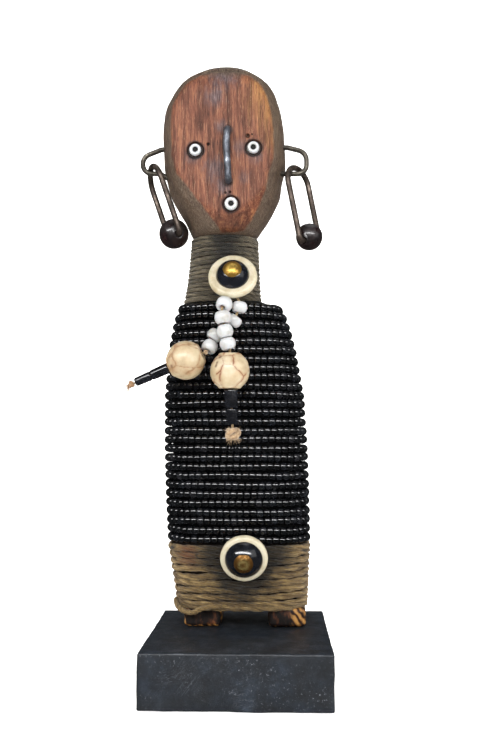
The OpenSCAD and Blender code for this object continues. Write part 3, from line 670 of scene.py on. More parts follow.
def beadTree():  # seed beads in a row along each line
    t, start, end = newTree("seedRows", [
        ("Bead Diameter", "NodeSocketFloat", 0.004), ("Bead Length", "NodeSocketFloat", 0.0031),
        ("Sides", "NodeSocketInt", 9), ("Wobble", "NodeSocketFloat", 0.00012), ("Seed", "NodeSocketInt", 4),
        ("Finish", "NodeSocketMaterial", None)])
    g = start.outputs
    line = add(t, "GeometryNodeResampleCurve", {0: g["Geometry"], "Length": g["Bead Length"]}, mode="LENGTH")
    half = calc(t, "MULTIPLY", g["Bead Length"], 0.47)
    heights = (calc(t, "MULTIPLY", half, -1.0), half)
    ends = [add(t, "ShaderNodeCombineXYZ", {2: height}).outputs[0] for height in heights]
    stick = add(t, "GeometryNodeCurvePrimitiveLine", {"Start": ends[0], "End": ends[1]})
    stick = add(t, "GeometryNodeResampleCurve", {0: stick.outputs[0], "Count": 8}, mode="COUNT")
    part = add(t, "GeometryNodeSplineParameter").outputs["Factor"]
    middle = calc(t, "ABSOLUTE", calc(t, "SUBTRACT", calc(t, "MULTIPLY", part, 2.0), 1.0))
    inwards = calc(t, "MULTIPLY", calc(t, "POWER", middle, 5.0), 0.5)
    roundness = calc(t, "POWER", calc(t, "SUBTRACT", 1.0, inwards), 0.5)
    ring = add(t, "GeometryNodeCurvePrimitiveCircle", {"Resolution": g["Sides"], "Radius": 1.0})
    bead = add(t, "GeometryNodeCurveToMesh", {"Curve": stick.outputs[0], "Profile Curve": ring.outputs[0],
               "Scale": calc(t, "MULTIPLY", roundness, calc(t, "MULTIPLY", g["Bead Diameter"], 0.5)),
               "Fill Caps": True})
    bead = add(t, "GeometryNodeSetShadeSmooth", {0: bead.outputs[0]})
    shake = add(t, "FunctionNodeRandomValue", {"Seed": g["Seed"]}, data_type="FLOAT_VECTOR")
    shake.inputs[0].default_value, shake.inputs[1].default_value = (-1, -1, -1), (1, 1, 1)
    spots = add(t, "GeometryNodeSetPosition", {0: line.outputs[0],
                "Offset": scaled(t, shake.outputs[0], g["Wobble"])})
    tangent = add(t, "GeometryNodeInputTangent").outputs[0]
    aim = add(t, "FunctionNodeAlignRotationToVector", {"Vector": tangent}, axis="Z")
    size = add(t, "FunctionNodeRandomValue", {"Seed": g["Seed"]}, data_type="FLOAT_VECTOR")
    size.inputs[0].default_value, size.inputs[1].default_value = (0.96, 0.96, 1.0), (1.01, 1.01, 1.08)
    placed = add(t, "GeometryNodeInstanceOnPoints", {"Points": spots.outputs[0], "Instance": bead.outputs[0],
                 "Rotation": aim.outputs[0], "Scale": size.outputs[0]})
    tone = add(t, "FunctionNodeRandomValue", {"Seed": g["Seed"]}, data_type="FLOAT")
    kept = storedValue(t, placed.outputs[0], "tone", tone.outputs[1], "INSTANCE")
    return endTree(t, kept, g["Finish"], end)


def grown(name, lines, closed, tree, values):  # runs a tree over lines and keeps the plain mesh
    curve = bpy.data.curves.new(name + "Lines", "CURVE")
    curve.dimensions = "3D"
    for line in lines:
        spline = curve.splines.new("POLY")
        spline.points.add(len(line) - 1)
        for point, p in zip(spline.points, line):
            point.co = (p[0] * mm, p[1] * mm, p[2] * mm, 1)
        spline.use_cyclic_u = closed
    maker = bpy.data.objects.new(name + "Maker", curve)
    bpy.context.scene.collection.objects.link(maker)
    modifier = maker.modifiers.new("grow", "NODES")
    modifier.node_group = tree
    for item in tree.interface.items_tree:
        if item.item_type == "SOCKET" and item.in_out == "INPUT" and item.name in values:
            modifier[item.identifier] = values[item.name]
    mesh = bpy.data.meshes.new_from_object(maker.evaluated_get(bpy.context.evaluated_depsgraph_get()))
    mesh.name = name
    maker.modifiers.clear()
    bpy.data.objects.remove(maker)
    bpy.data.curves.remove(curve)
    piece = bpy.data.objects.new(name, mesh)
    bpy.context.scene.collection.objects.link(piece)
    return piece


twisted = twineTree()
rowed = beadTree()


# necklace strings

necklace = dict(stringD=1.2, bore=2.4, knotSmall=(-14.8, -9, 144.6), rightKnot=7.4, leftKnot=3.6)
largeBeads = dict(leftD=17.2, leftL=15.8, rightD=17.4, rightL=15.65)
tubeRuns = dict(start=0.46 * largeBeads["leftD"] + 0.4, gap=0.3, leftInner=(0, 8.6), leftOuter=(8.9, 16.3),
                rightUpper=(0, 8.1), rightLower=(8.4, 15.3))  # from a large bead's middle along its tail
frontRoute = [(-5.4, -2.9, 170.3), (-5.8, -5, 168.4), (-6.7, -7.9, 166.3), (-7.6, -9.9, 163.9),
              (-7.1, -10.8, 159.8), (-6.2, -10.4, 153.9), (-5, -9.8, 148.3), (-4, -9.8, 145.4)]
rightTail = [(-4, -9.8, 144), (-4, -9.8, 136.2), (-3.6, -9.6, 128), (-3.2, -9.4, 120), (-2.8, -9.2, 110)]
backRoute = [(-1.6, -2.9, 170.3), (-0.4, -4.4, 168.8), (0, -5.2, 165.2), (-2.5, -4.6, 159.3),
             (-7, -4.4, 155.8), (-11.1, -4.8, 152.7), (-13.2, -6, 147.4), (-14.1, -7.4, 145.3)]
leftTail = [(-16.4, -9.2, 144.1), (-23.7, -8.8, 141.1), (-32.2, -7.9, 137.4), (-40, -7.1, 134),
            (-48, -6.3, 130.6)]


def lineLength(line):
    return sum((Vector(b) - Vector(a)).length for a, b in zip(line, line[1:])) * mm


def makeString(name, route, tail, tailNode, stringNode):
    line = spaced(route + tail, 0.7)
    piece = grown(name, [line], False, twisted, {
        "Twine Diameter": necklace["stringD"] * mm, "Plies": 2, "Twist Length": 0.0026, "Step": 0.00035,
        "Ply Sides": 6, "Fuzz": 0.0001, "Finish": stringFibre})
    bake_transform(piece)
    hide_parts(tailNode, stringNode)
    return piece, line


def strandTuft(centre, way, count, length, spread, thick, seed):  # frayed fibre ends
    rng = random.Random(seed)
    way = Vector(way).normalized()
    side = way.orthogonal().normalized()
    other = way.cross(side)
    shells = []
    for k in range(count):
        turn, lean = rng.uniform(0, 2 * math.pi), spread * math.sqrt(rng.random())
        sideways = math.cos(turn) * side + math.sin(turn) * other
        aim = (way + lean * sideways).normalized()
        start = Vector(centre) + sideways * rng.uniform(0, 0.5)
        curl = Vector([rng.uniform(-1, 1) for _ in range(3)])
        size = length * rng.uniform(0.45, 1.0)
        line = [start + aim * size * t + curl * size * 0.28 * t * t * math.sin(2.2 * t + k)
                for t in (i / 6 for i in range(7))]
        shells.append(tube(line, lambda t: thick * (1.05 - 0.85 * t), 4))
    return joined(*shells)


def knotLine(centre, way, size):  # an overhand knot's line, over and under three times in two rounds
    way = Vector(way).normalized()
    side = way.orthogonal().normalized()
    other = way.cross(side)
    line = []
    for k in range(90):
        a = 2 * math.pi * k / 90
        r = size * (0.62 + 0.30 * math.cos(3 * a))
        line.append(Vector(centre) + r * math.cos(2 * a) * side + r * math.sin(2 * a) * other
                    + size * 0.55 * math.sin(3 * a) * way)
    return line + line[:2]


def towards(a, b):
    return (Vector(b) - Vector(a)).normalized()


leftWay, rightWay = towards(leftTail[0], leftTail[4]), towards(rightTail[1], rightTail[4])


def knotPlace(tail, aim, lastTube, size):  # just past a tail's last tube
    reach = tubeRuns["start"] + tubeRuns[lastTube][1] + tubeRuns["gap"] + size / 2
    return Vector(tail[1]) + reach * aim


rightKnotAt = knotPlace(rightTail, rightWay, "rightLower", necklace["rightKnot"])
leftKnotAt = knotPlace(leftTail, leftWay, "leftOuter", necklace["leftKnot"])

core = tube(knotLine(rightKnotAt, rightWay, 2.7), 1.25, 8)
core = (lumpy(core[0], rightKnotAt, 0.35, 0.8, 3), core[1])
fray = strandTuft(rightKnotAt, rightWay, 90, 5.2, 1.1, 0.16, 11)
fuzz = strandTuft(rightKnotAt, -rightWay, 60, 4.4, 2.6, 0.12, 12)
knotRight = makePiece("frayedKnotRight", *joined(core, fray, fuzz), knotFibre, "tassel_right", "string",
                      ["knot_right"])
core = tube(knotLine(leftKnotAt, leftWay, 1.25), 0.62, 8)
fray = strandTuft(leftKnotAt + 0.5 * leftWay, leftWay + Vector((0, 0, -0.35)), 34, 4.2, 0.7, 0.12, 13)
wisp = strandTuft(leftKnotAt + 0.6 * leftWay, Vector((-0.15, 0, -1)), 7, 4.6, 0.3, 0.1, 15)
knotLeft = makePiece("frayedKnotLeft", *joined(core, fray, wisp), darkKnotFibre, "tassel_left", "string",
                     ["knot_left"])
core = tube(knotLine(necklace["knotSmall"], leftWay, 0.85), 0.45, 8)
fray = strandTuft(necklace["knotSmall"], Vector((0.2, -0.6, -1)), 10, 2.4, 0.8, 0.08, 16)
knotSmall = makePiece("smallKnot", *joined(core, fray), knotFibre, "necklace", "string", ["knot_small"])

stringRight, lineRight = makeString("stringRight", frontRoute, rightTail, "tail_right",
                                    "string_front")
stringLeft, lineLeft = makeString("stringLeft", backRoute + [necklace["knotSmall"]], leftTail,
                                  "tail_left", "string_back")
print("strings and knots made, lengths", round(lineLength(lineRight), 4), round(lineLength(lineLeft), 4))


# necklace beads

def boredBall(d, l, bore, edge, sides=40):  # a ball with flat ends, a rounded edge and a bore
    big = d / 2
    limit = math.asin(min(1.0, (l / 2 - edge) / big))
    outer = [(big * math.sin(limit * k / 10), big * math.cos(limit * k / 10)) for k in range(-10, 11)]
    end = outer[-1][1]
    for t in (0.25, 0.5, 0.75, 1.0):
        h = (1 - t) ** 2 * (l / 2 - edge) + 2 * t * (1 - t) * l / 2 + t * t * l / 2
        r = (1 - t) ** 2 * end + 2 * t * (1 - t) * (end - edge * 0.45)
        r += t * t * max(end - edge * 1.3, bore / 2 + 0.5)
        outer.append((h, r))
    outer += [(l / 2, bore / 2 + 0.3), (l / 2 - 0.3, bore / 2)]
    low = [(-h, r) for h, r in outer[:20:-1]]
    return lathe(low + outer + [low[0]], sides)


def strungBead(name, route, i, d, l, node, seed):
    aim = towards(route[i], route[i - 1]) + towards(route[i + 1], route[i])
    points, faces = boredBall(d, l, necklace["bore"], 0.8)
    points = lumpy(aimed(points, route[i], aim), route[i], 0.16, 3.2, seed)
    return makePiece(name, points, faces, whiteGlaze, "necklace", "white_bead", [node], 70)


whiteSizes = dict(  # route point, diameter, length
    front=[(2, 7.4, 6.0), (4, 7.6, 5.4), (5, 7.4, 5.7), (6, 7.2, 5.4)],
    back=[(2, 7.0, 4.8), (3, 7.0, 4.7), (5, 7.0, 4.7), (6, 7.2, 5.0)])
whiteBeads = []
for side, route in (("front", frontRoute), ("back", backRoute)):
    for k, (i, d, l) in enumerate(whiteSizes[side], 1):
        whiteBeads.append(strungBead(f"whiteBead{side.title()}{k}", route, i, d, l, f"bead_{side}_{k}",
                                     len(whiteBeads)))


def veinedBead(name, centre, aim, side, finish, seed):
    points, faces = boredBall(largeBeads[side + "D"], largeBeads[side + "L"], necklace["bore"], 0.9, 72)
    points = lumpy(aimed(points, centre, aim), centre, 0.16, 6.0, seed)
    return makePiece(name, points, faces, finish, "large_bead_" + side, "large_bead", ["big_bead_" + side],
                     60)


stoneLeft = stoneFinish("veinedStoneLeft", "#7d5a38", 0.7, 95.0, (0.31, 0.12, 0.07), [(-29.2, -14.6, 137.9)])
stoneRight = stoneFinish("veinedStoneRight", "#6e3a1e", 0.95, 105.0, (0.127, 0.043, 0.069),
                         [(-9.0, -15.6, 139.2), (-8.0, -15.0, 141.6), (-9.7, -16.0, 138.0)])
bigLeft = veinedBead("largeBeadLeft", leftTail[1], leftWay, "left", stoneLeft, 21)
bigRight = veinedBead("largeBeadRight", rightTail[1], (0, 0, 1), "right", stoneRight, 22)


def strungTube(side, place, tail, aim, wide, narrow, flutes=0):  # a tapered glass tube, plain or fluted
    start, stop = (tubeRuns["start"] + v for v in tubeRuns[side + place.title()])
    length, rows = stop - start, []
    for t in (0.0, 0.03, 0.08, 0.3, 0.6, 0.92, 0.97, 1.0):
        r = (wide + (narrow - wide) * t) / 2
        rows.append((t * length, r - (0.28 if t in (0.0, 1.0) else 0.09 if t in (0.03, 0.97) else 0.0)))
    rows += [(length, 1.4), (length - 0.3, 1.2), (0.3, 1.2), (0.0, 1.4)]
    points, faces = lathe(rows + [rows[0]], 48)
    if flutes:
        for p in points:
            if p.xy.length > 1.5:
                p.xy *= 1 - 0.035 * (1 + math.cos(flutes * math.atan2(p.y, p.x))) ** 2 / 2
    points = aimed(points, Vector(tail[1]) + start * Vector(aim), aim)
    return makePiece(f"tube{side.title()}{place.title()}", points, faces, tubeGlass,
                     f"tube_bead_{side}_{place}", "tube_black", [f"tube_{side}_{place}"], 35)


leftTubes = [strungTube("left", "inner", leftTail, leftWay, 4.9, 4.5),
             strungTube("left", "outer", leftTail, leftWay, 4.3, 3.8)]
rightTubes = [strungTube("right", "upper", rightTail, rightWay, 6.2, 5.6, 12),
              strungTube("right", "lower", rightTail, rightWay, 5.3, 4.6, 12)]
print("necklace beads made")


# the carved figure

def between(table, t):  # straight lines through a table of (t, value)
    if t <= table[0][0]:
        return table[0][1]
    for (a, x), (b, y) in zip(table, table[1:]):
        if t <= b:
            return x + (y - x) * (t - a) / (b - a)
    return table[-1][1]


outlines = dict(  # height share, width share, sideways shift
    hem=[(0, 0.895, 0.6), (0.5, 0.94, -0.2), (1, 0.985, -1)],
    robe=[(0, 0.985, -1), (0.2, 1, -1.8), (0.4, 1, -2.5), (0.6, 0.98, -3.2), (0.8, 0.9, -4.4),
          (0.92, 0.81, -5), (1, 0.7, -5.4)],
    neck=[(0, 1.1, -9), (0.25, 1.04, -8.6), (0.55, 1, -8.3), (1, 0.95, -8)],
    head=[(0.016, 0.54, -7.9), (0.052, 0.6, -7.6), (0.103, 0.68, -7.1), (0.176, 0.8, -7.3),
          (0.248, 0.895, -7.6), (0.32, 0.94, -8.1), (0.434, 1, -8), (0.588, 1, -8.6), (0.712, 0.96, -8.8),
          (0.806, 0.87, -8.3), (0.871, 0.76, -8), (0.934, 0.54, -7.6), (0.968, 0.36, -7.5),
          (0.99, 0.17, -8.2)])


def outline(name, t):
    rows = outlines[name]
    return between([(r[0], r[1]) for r in rows], t), between([(r[0], r[2]) for r in rows], t)


def section(name, t, cover=0.0):  # z, middle x, half width, middle y, front depth, back depth, squareness
    share, shift = outline(name, t)
    g = figure
    if name == "hem":
        low, high, width, depth, square = g["hem"], g["robe"], g["robeW"], g["robeD"], 3.0
    elif name == "robe":
        low, high, width = g["robe"], g["shoulder"], g["robeW"]
        depth = g["robeD"] * between([(0, 1), (0.8, 1), (0.92, 0.94), (1, 0.84)], t)
        square = 3 - 0.5 * max(0.0, t - 0.6) / 0.4
    elif name == "neck":
        low, high, width, depth, square = g["shoulder"], g["chin"], g["neckW"], g["neckD"], 2.3
    else:
        return (g["chin"] + t * (g["crown"] - g["chin"]), shift, g["headW"] / 2 * share, g["headY"],
                g["headFront"] * share, g["headBack"] * share, 2.2)
    d = depth / 2 - cover
    return low + t * (high - low), shift, width / 2 * share - cover, g["back"], d, d, square


def rimPoint(s, a):
    def bow(v):
        return math.copysign(abs(v) ** (2 / s[6]), v)
    depth = s[4] if math.sin(a) < 0 else s[5]
    return Vector((s[1] + s[2] * bow(math.cos(a)), s[3] + depth * bow(math.sin(a)), s[0]))


def slopeAt(rows, i, c):  # how fast value c changes with height at section i, without overshoot
    if i in (0, len(rows) - 1):
        j = min(i, len(rows) - 2)
        return (rows[j + 1][c] - rows[j][c]) / (rows[j + 1][0] - rows[j][0])
    a = (rows[i][c] - rows[i - 1][c]) / (rows[i][0] - rows[i - 1][0])
    b = (rows[i + 1][c] - rows[i][c]) / (rows[i + 1][0] - rows[i][0])
    return 0.0 if a * b <= 0 else 2 * a * b / (a + b)


def smoothSections(rows, levels):  # a smooth run of sections through the given ones
    z = [row[0] for row in rows]
    out = []
    for level in levels:
        k = next((i for i in range(len(z) - 1) if level <= z[i + 1]), len(z) - 2)
        h = z[k + 1] - z[k]
        t = (level - z[k]) / h
        row = [level]
        for c in range(1, 7):
            row.append((2 * t ** 3 - 3 * t * t + 1) * rows[k][c]
                       + (t ** 3 - 2 * t * t + t) * h * slopeAt(rows, k, c)
                       + (3 * t * t - 2 * t ** 3) * rows[k + 1][c]
                       + (t ** 3 - t * t) * h * slopeAt(rows, k + 1, c))
        out.append(tuple(row))
    return out


carving = dict(around=144, bodyStep=3.0, headStep=0.9, edge=1.6, marks=0.22, clear=0.07, headFrom=201.0,
               headTo=281.4, top=[281.5, 282.4, 283.3, 284.1, 284.7, 285.1, 285.3], marksFrom=203,
               bendFrom=268)


def faceLevel(p):  # y of the flat face: it falls back near the crown and at the lower left cheek
    fall = max(0.0, p.z - carving["bendFrom"]) / 7
    beyond = max(0.0, cheek["across"] * (p.x - cheek["x"]) + cheek["down"] * (p.z - cheek["z"]))
    return figure["faceY"] + 0.9 * fall * fall + 0.3 * beyond + 0.05 * noise.noise(p / 5.0)


def carvedFigure():
    c = carving["clear"]
    rows = [section("hem", t, 3 + c) for t in (0, 0.5, 1)]
    rows += [section("robe", t, 4 + c) for t in (0.02, 0.2, 0.4, 0.6, 0.7, 0.8, 0.87, 0.92, 0.985)]
    rows += [section("neck", t, 2 + 2 * c) for t in (0, 0.25, 0.55, 0.98)]
    rows += [section("head", row[0]) for row in outlines["head"]]
    rows.append((figure["crown"], -8.4, 1.0, figure["headY"], 1.2, 1.0, 2.0))  # a small cap closes the top
    levels, z = [], figure["hem"]
    while z < carving["headFrom"]:
        levels.append(z)
        z += carving["bodyStep"]
    z = carving["headFrom"]
    while z < carving["headTo"]:
        levels.append(z)
        z += carving["headStep"]
    levels += carving["top"]
    n, e = carving["around"], carving["edge"]
    points, faces = [], []
    for s in smoothSections(rows, levels):
        for k in range(n):
            p = rimPoint(s, 2 * math.pi * (k + 0.5) / n)
            out = (p - Vector((s[1], s[3], p.z))).normalized()
            rise = p.z - carving["marksFrom"]
            if rise > 0:
                tool = noise.noise(p / 7.0) + 0.5 * noise.noise(p / 3.1)
                p += out * carving["marks"] * tool * min(1.0, rise / 3)
            over = figure["faceY"] - p.y  # how far this point lies before the flat face
            if over > -e:
                flat = faceLevel(p)
                p.y = flat if over > e else flat + (e - over) ** 2 / (4 * e)
            points.append(p)
    for i in range(len(levels) - 1):
        for k in range(n):
            m = (k + 1) % n
            faces.append((i * n + k, i * n + m, (i + 1) * n + m, (i + 1) * n + k))
    faces += [tuple(range(n - 1, -1, -1)), tuple((len(levels) - 1) * n + k for k in range(n))]
    return points, faces


def roundedBlock(low, high, r, steps, marks, size, seed):  # a block with soft edges and an uneven skin
    low, high = Vector(low), Vector(high)
    grids = []
    for a in range(3):
        inner = [low[a] + r + (high[a] - low[a] - 2 * r) * k / steps[a] for k in range(steps[a] + 1)]
        edge = [r * math.tan(math.radians(45 * k / 4)) for k in range(1, 5)]
        grids.append([low[a] + r - e for e in edge[::-1]] + inner + [high[a] - r + e for e in edge])
    index, points, faces = {}, [], []

    def vertex(p):
        key = tuple(round(c, 4) for c in p)
        if key not in index:
            inside = Vector([max(low[a] + r, min(high[a] - r, p[a])) for a in range(3)])
            away = Vector(p) - inside
            q = inside + away.normalized() * r
            uneven = noise.noise(q / size + Vector((seed, seed, seed))) + 0.4 * noise.noise(q / (size * 0.3))
            q += away.normalized() * marks * (uneven - 0.5)
            index[key] = len(points)
            points.append(q)
        return index[key]

    for a in range(3):
        b, c = (a + 1) % 3, (a + 2) % 3
        for end in (low[a], high[a]):
            for i in range(len(grids[b]) - 1):
                for j in range(len(grids[c]) - 1):
                    quad = []
                    for u, v in ((i, j), (i + 1, j), (i + 1, j + 1), (i, j + 1)):
                        p = [0.0, 0.0, 0.0]
                        p[a], p[b], p[c] = end, grids[b][u], grids[c][v]
                        quad.append(vertex(p))
                    faces.append(tuple(quad) if end == high[a] else tuple(quad[::-1]))
    return points, faces


feet = dict(at=(-16.8, 21.0), width=17.0, depth=30.0, round=2.2)
body = carvedFigure()
footBlocks = [roundedBlock((x - feet["width"] / 2, figure["back"] - feet["depth"] / 2, figure["sole"] + 0.03),
                           (x + feet["width"] / 2, figure["back"] + feet["depth"] / 2, figure["hem"] + 0.3),
                           feet["round"], (6, 10, 3), 0.3, 5.0, x) for x in feet["at"]]


def cutPockets(shell, cutters):  # the shell with holes sunk into it
    made = []
    for points, faces in (shell, joined(*cutters)):
        mesh = bpy.data.meshes.new("pocketWork")
        mesh.from_pydata([tuple(p) for p in points], [], faces)
        mesh.update()
        made.append(bpy.data.objects.new("pocketWork", mesh))
        bpy.context.scene.collection.objects.link(made[-1])
    cut = made[0].modifiers.new("pockets", "BOOLEAN")
    cut.operation, cut.solver, cut.object = "DIFFERENCE", "EXACT", made[1]
    mesh = bpy.data.meshes.new_from_object(made[0].evaluated_get(bpy.context.evaluated_depsgraph_get()))
    result = [v.co.copy() for v in mesh.vertices], [tuple(p.vertices) for p in mesh.polygons]
    bpy.data.meshes.remove(mesh)
    for work in made:
        bpy.data.objects.remove(work)
    return result


pocketShape = [(1.4, 0.0), (1.4, 4.3), (0.0, 4.15), (-0.5, 3.85), (-0.9, 3.55), (-0.9, 0.0)]
cutters = []
for x, z in face["eyes"] + [face["mouth"]]:
    points, faces = lathe(pocketShape[::-1], 40)
    cutters.append((aimed(points, (x, figure["faceY"], z), (0, -1, 0)), faces))
nail = [(-1.2, 0.0), (-1.0, 0.35), (0.1, 0.6), (0.6, 0.7), (0.6, 0.0)]
for x, z, spot, r in nailHoles:
    if r:
        points, faces = lathe([(h, q * r) for h, q in nail], 12)
        cutters.append((aimed(points, (x, figure["faceY"], z), (0, -1, 0)), faces))
carved = makePiece("carvedFigure", *joined(cutPockets(body, cutters), *footBlocks), wood, "figure",
                   "carved_wood", ["carved_figure"], 50)
print("carved figure made", len(carved.data.polygons))

block = dict(low=(-39, -40, 0), high=(39, 40, 22.5), round=0.9, steps=(30, 30, 9), marks=0.35)
points, faces = roundedBlock(block["low"], block["high"], block["round"], block["steps"], block["marks"],
                             14.0, 4)
makePiece("paintedBlock", points, faces, blockPaint, "figure", "block_paint", ["base_block"], 80)


# seed beads and twine

seeds = dict(d=4.0, gap=0.07, length=3.05, rows=27, lowGap=0.25)


def seedRow(k, rng):
    z = seeds["lowGap"] + (seeds["d"] + seeds["gap"]) * (k + 0.5)
    s = section("robe", z / (figure["shoulder"] - figure["robe"]), seeds["d"] / 2)
    first, sway, lean = rng.uniform(0, 2 * math.pi), rng.uniform(0, 2 * math.pi), rng.uniform(0.1, 0.3)
    line = []
    for i in range(180):
        a = first + 2 * math.pi * i / 180
        p = rimPoint(s, a)
        p.z += lean * math.sin(a + sway) + 0.12 * math.sin(5 * a + 2 * sway)
        line.append(p)
    return line


rng = random.Random(5)
rows = [seedRow(k, rng) for k in range(seeds["rows"])]
for i, (name, node) in enumerate((("seedRowsLow", "bead_rows_low"), ("seedRowsMid", "bead_rows_mid"),
                                  ("seedRowsHigh", "bead_rows_high"))):
    piece = grown(name, rows[9 * i:9 * i + 9], True, rowed, {
        "Bead Diameter": seeds["d"] * mm, "Bead Length": seeds["length"] * mm, "Sides": 10, "Wobble": 0.00007,
        "Seed": 4 + i, "Finish": seedGlass})
    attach(piece, "figure")
    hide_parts(node)
print("seed beads made")

wraps = dict(hemD=3.0, neckD=2.0, gap=0.06, drop=0.95)


def winding(name, d, height, sway, seed):
    pitch = d + wraps["gap"]
    low, high = d / 2 - wraps["drop"], height - d / 2 - 0.12
    line = []
    for k in range(int(((high - low) / pitch + 2) * 120) + 1):
        z = max(low, min(high, low + (k / 120 - 1) * pitch))
        p = rimPoint(section(name, z / height, d / 2), 2 * math.pi * k / 120 + math.pi / 2)
        inner = min(1.0, (z - low) / 2, (high - z) / 2)
        p.z += sway * inner * noise.noise(Vector((p.x / 14, p.y / 14, k / 120 * 3.7 + seed)))
        line.append(p)
    return line


hemLine = winding("hem", wraps["hemD"], figure["robe"] - figure["hem"], 0.7, 2)
looseEnd = smoothLine([(-29.8, 12, 33.2), (-28.4, 6.3, 31.4), (-25.9, 2.2, 30.4), (-23.2, 0.0, 29.9),
                       (-20.4, -1.0, 29.9), (-17.6, -1.8, 31.4), (-13.5, -2.2, 32.6), (-8, -1.6, 32.8)], 0.7)
hemWrap = grown("hemTwine", [hemLine], False, twisted, {"Twine Diameter": wraps["hemD"] * mm, "Plies": 3,
                "Twist Length": 0.024, "Step": 0.0009, "Ply Sides": 8, "Fuzz": 0.0009, "Finish": hemJute})
hemEnd = grown("hemLooseEnd", [looseEnd], False, twisted, {"Twine Diameter": 0.0024, "Plies": 3,
               "Twist Length": 0.0065, "Step": 0.0006, "Ply Sides": 8, "Fuzz": 0.0004, "Finish": hemJute})
neckLine = winding("neck", wraps["neckD"], figure["chin"] - figure["shoulder"], 0.4, 8)
neckWrap = grown("neckTwine", [neckLine], False, twisted, {"Twine Diameter": wraps["neckD"] * mm, "Plies": 3,
                 "Twist Length": 0.014, "Step": 0.0007, "Ply Sides": 7, "Fuzz": 0.0004, "Finish": neckJute})
for piece, node in ((hemWrap, "hem_twine"), (hemEnd, "hem_twine"), (neckWrap, "neck_twine")):
    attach(piece, "figure")
    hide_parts(node)
print("twine made")


# medallions

medallion = dict(thick=3.8, domeH=5.6, tackR=4.2, capH=1.6, bore=0.85, shankR=0.8, shankL=20)
medallions = dict(
    collar=dict(at=(-3.2, -2.2, 179.8), tilt=21, discD=22.4, domeD=15.2, brass=("#d8b45c", "#8b6b2e")),
    hem=dict(at=(2.1, -5.2, 54.2), tilt=-14, discD=21.0, domeD=16.6, brass=("#a5915a", "#6a4a22")))


def medallionPieces(name, at, tilt, discD, domeD, brass):  # a cream disc, a glass dome and a brass tack
    aim = Vector((0, -math.cos(math.radians(tilt)), math.sin(math.radians(tilt))))
    m = medallion
    half = m["thick"] / 2
    rim = [(half * math.sin(a), discD / 2 - half + half * math.cos(a)) for a in
           (math.radians(-90 + 12 * k) for k in range(16))]
    points, faces = lathe([(-half, m["bore"])] + rim + [(half, m["bore"]), (-half, m["bore"])], 96)
    points = lumpy(aimed(points, at, aim), at, 0.1, 6, 3)
    makePiece(name + "Disc", points, faces, cream, "figure", "disc_cream", [name + "_disc"], 50)
    big = (domeD ** 2 / 4 + m["domeH"] ** 2) / (2 * m["domeH"])
    seat = m["domeH"] - big + math.sqrt(big ** 2 - m["tackR"] ** 2)
    limit, top = math.asin(domeD / 2 / big), math.asin(m["tackR"] / big)
    foot = half + 0.02
    arc = [(m["domeH"] - big + big * math.cos(a) + foot, big * math.sin(a)) for a in
           (limit + (top - limit) * k / 16 for k in range(17))]
    profile = [(foot, m["bore"]), (foot, domeD / 2 - 0.1)] + arc
    profile += [(foot + seat, m["bore"]), (foot, m["bore"])]
    points, faces = lathe(profile, 96)
    makePiece(name + "Dome", aimed(points, at, aim), faces, domeGlass, "figure", "dome_black",
              [name + "_dome"], 60)
    cap = (m["tackR"] ** 2 + m["capH"] ** 2) / (2 * m["capH"])
    low = half + 0.04 + seat
    reach = math.asin(m["tackR"] / cap)
    profile = [(low - m["shankL"], 0.0), (low - m["shankL"], m["shankR"]), (low, m["shankR"]),
               (low, m["tackR"] - 0.06)]
    profile += [(low + m["capH"] - cap + cap * math.cos(a), cap * math.sin(a)) for a in
                (reach * (1 - k / 12) for k in range(12))] + [(low + m["capH"], 0.0)]
    points, faces = lathe(profile, 64)
    points = lumpy(aimed(points, at, aim), Vector(at) + aim * (low - 3), 0.12, 2.4, 5)
    finish = brassFinish(name + "Brass", *brass, Vector(at) + aim * 9.0)
    makePiece(name + "Tack", points, faces, finish, "figure", "tack_brass", [name + "_tack"], 60)


for name, values in medallions.items():
    medallionPieces(name, **values)
print("medallions made")


# face

def wirePiece(name, line, r, finish, bodyName, node, seed):
    def hammered(t):
        return r * (0.985 + 0.03 * noise.noise(Vector((t * 21, seed, 0))))
    points, faces = tube(spaced(line, 0.5), hammered, 18)
    return makePiece(name, points, faces, finish, bodyName, "wire_iron", [node], 50)


def noseCorners(x, top, length, d, out):  # a staple whose middle bulges slightly
    r, y = d / 2, figure["faceY"] - out
    high, low = top - r, top - length + r
    return [(x, 4, high), (x, y, high), (x - 0.5, y - 0.5, top - 9), (x + 0.5, y, low), (x + 0.5, 4, low)]


corners = noseCorners(face["noseX"], face["noseTop"], face["noseL"], face["noseD"], face["noseOut"])
noseLine = sweepPoints(corners, [0, 2, 30, 2, 0])
wirePiece("noseWire", noseLine, face["noseD"] / 2, ironNose, "figure", "nose_wire", 3)
for name, (x, z), d, node in (("eyeRingLeft", face["eyes"][0], face["eyeD"], "eye_bead_left"),
                              ("eyeRingRight", face["eyes"][1], face["eyeD"], "eye_bead_right"),
                              ("mouthRing", face["mouth"], face["mouthD"], "mouth_bead")):
    points, faces = boredBall(d * 0.91, 2.6, 2.6, 0.4)
    points = aimed(points, (x, figure["faceY"] - 0.4, z), (0, -1, 0))
    makePiece(name, points, faces, whiteGlaze, "figure", "white_bead", [node])
print("face made")


# earrings

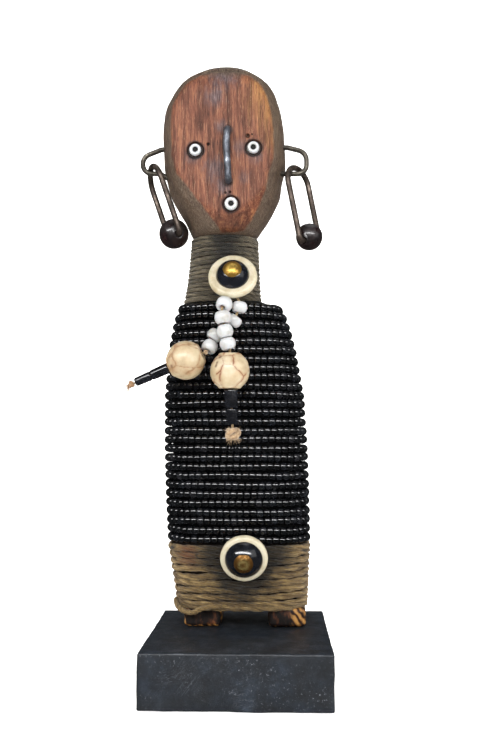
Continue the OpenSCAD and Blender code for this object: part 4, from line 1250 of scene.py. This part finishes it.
earrings = dict(
    y=8.5, wireD=2.4, hoopD=2.8, gap=0.35, long=33.8, tip=20.0, bend=1.8,
    left=dict(hang=(-41.6, 231.8), swing=22, lean=-19, ballD=14.0, seed=7,
              loop=[(-30, 243.5), (-37.6, 243.5), (-46.6, 240), (-46.6, 231.8), (-38.4, 231.8),
                    (-30, 226.4)], loopBends=[0, 3.2, 4.6, 4.4, 3.2, 0]),
    right=dict(hang=(26.2, 231), swing=-38, lean=-11, ballD=12.6, seed=9,
               loop=[(13, 243.8), (22, 243.8), (31, 241.4), (31, 231), (22.6, 231), (13, 231.4)],
               loopBends=[0, 3.2, 5, 4.2, 3.2, 0]))


def earLoop(side):  # a wire with both ends in the head
    ear = earrings[side]
    line = sweepPoints([(x, earrings["y"], z) for x, z in ear["loop"]], ear["loopBends"])
    wirePiece("earLoop" + side.title(), line, earrings["wireD"] / 2, ironGrey, "figure",
              "ear_loop_" + side, 5)


def earring(side):  # a long wire hoop with a ball on its lower bar
    e, ear = earrings, earrings[side]
    r, tip = e["hoopD"] / 2, math.radians(e["tip"])
    w = ear["ballD"] / 2 + r + 0.35
    top = e["wireD"] / 2 + e["gap"] + r
    bottom = Vector((0, 0, top - e["long"]))
    along = Vector((0, math.cos(tip), math.sin(tip)))
    front, rear = bottom - along * w / math.cos(tip), bottom + along * w / math.cos(tip)
    line = sweepPoints([bottom, front, (0, -w, top), (0, w, top), rear, bottom],
                       [0, e["bend"], w - 0.01, w - 0.01, e["bend"], 0])
    at = Vector((ear["hang"][0], e["y"], ear["hang"][1]))
    lean = Matrix.Rotation(math.radians(ear["lean"]), 3, "Y")
    turn = lean @ Matrix.Rotation(math.radians(ear["swing"]), 3, "Z")
    wirePiece(side + "Hoop", [at + turn @ p for p in line], r * 0.99, ironBrown, "earring_" + side,
              "hoop_" + side, ear["seed"])
    points, faces = boredBall(ear["ballD"], ear["ballD"] - 0.3, e["hoopD"] + 0.16, 0.35, 56)
    spot, aim = at + turn @ bottom, turn @ along
    points = lumpy(aimed(points, spot, aim), spot, 0.1, 5, ear["seed"])
    makePiece(side + "Ball", points, faces, ballGlass, "earring_ball_" + side, "ball_glass",
              ["hoop_ball_" + side], 60)


for side in ("left", "right"):
    earLoop(side)
for side in ("left", "right"):
    earring(side)
print("earrings made")

for node, finish in (("foot_dowels", wood), ("eye_pin_left", pinBlack), ("eye_pin_right", pinBlack),
                     ("mouth_pin", pinBlack)):
    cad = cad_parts[node]
    cad.data.materials.clear()
    cad.data.materials.append(finish)
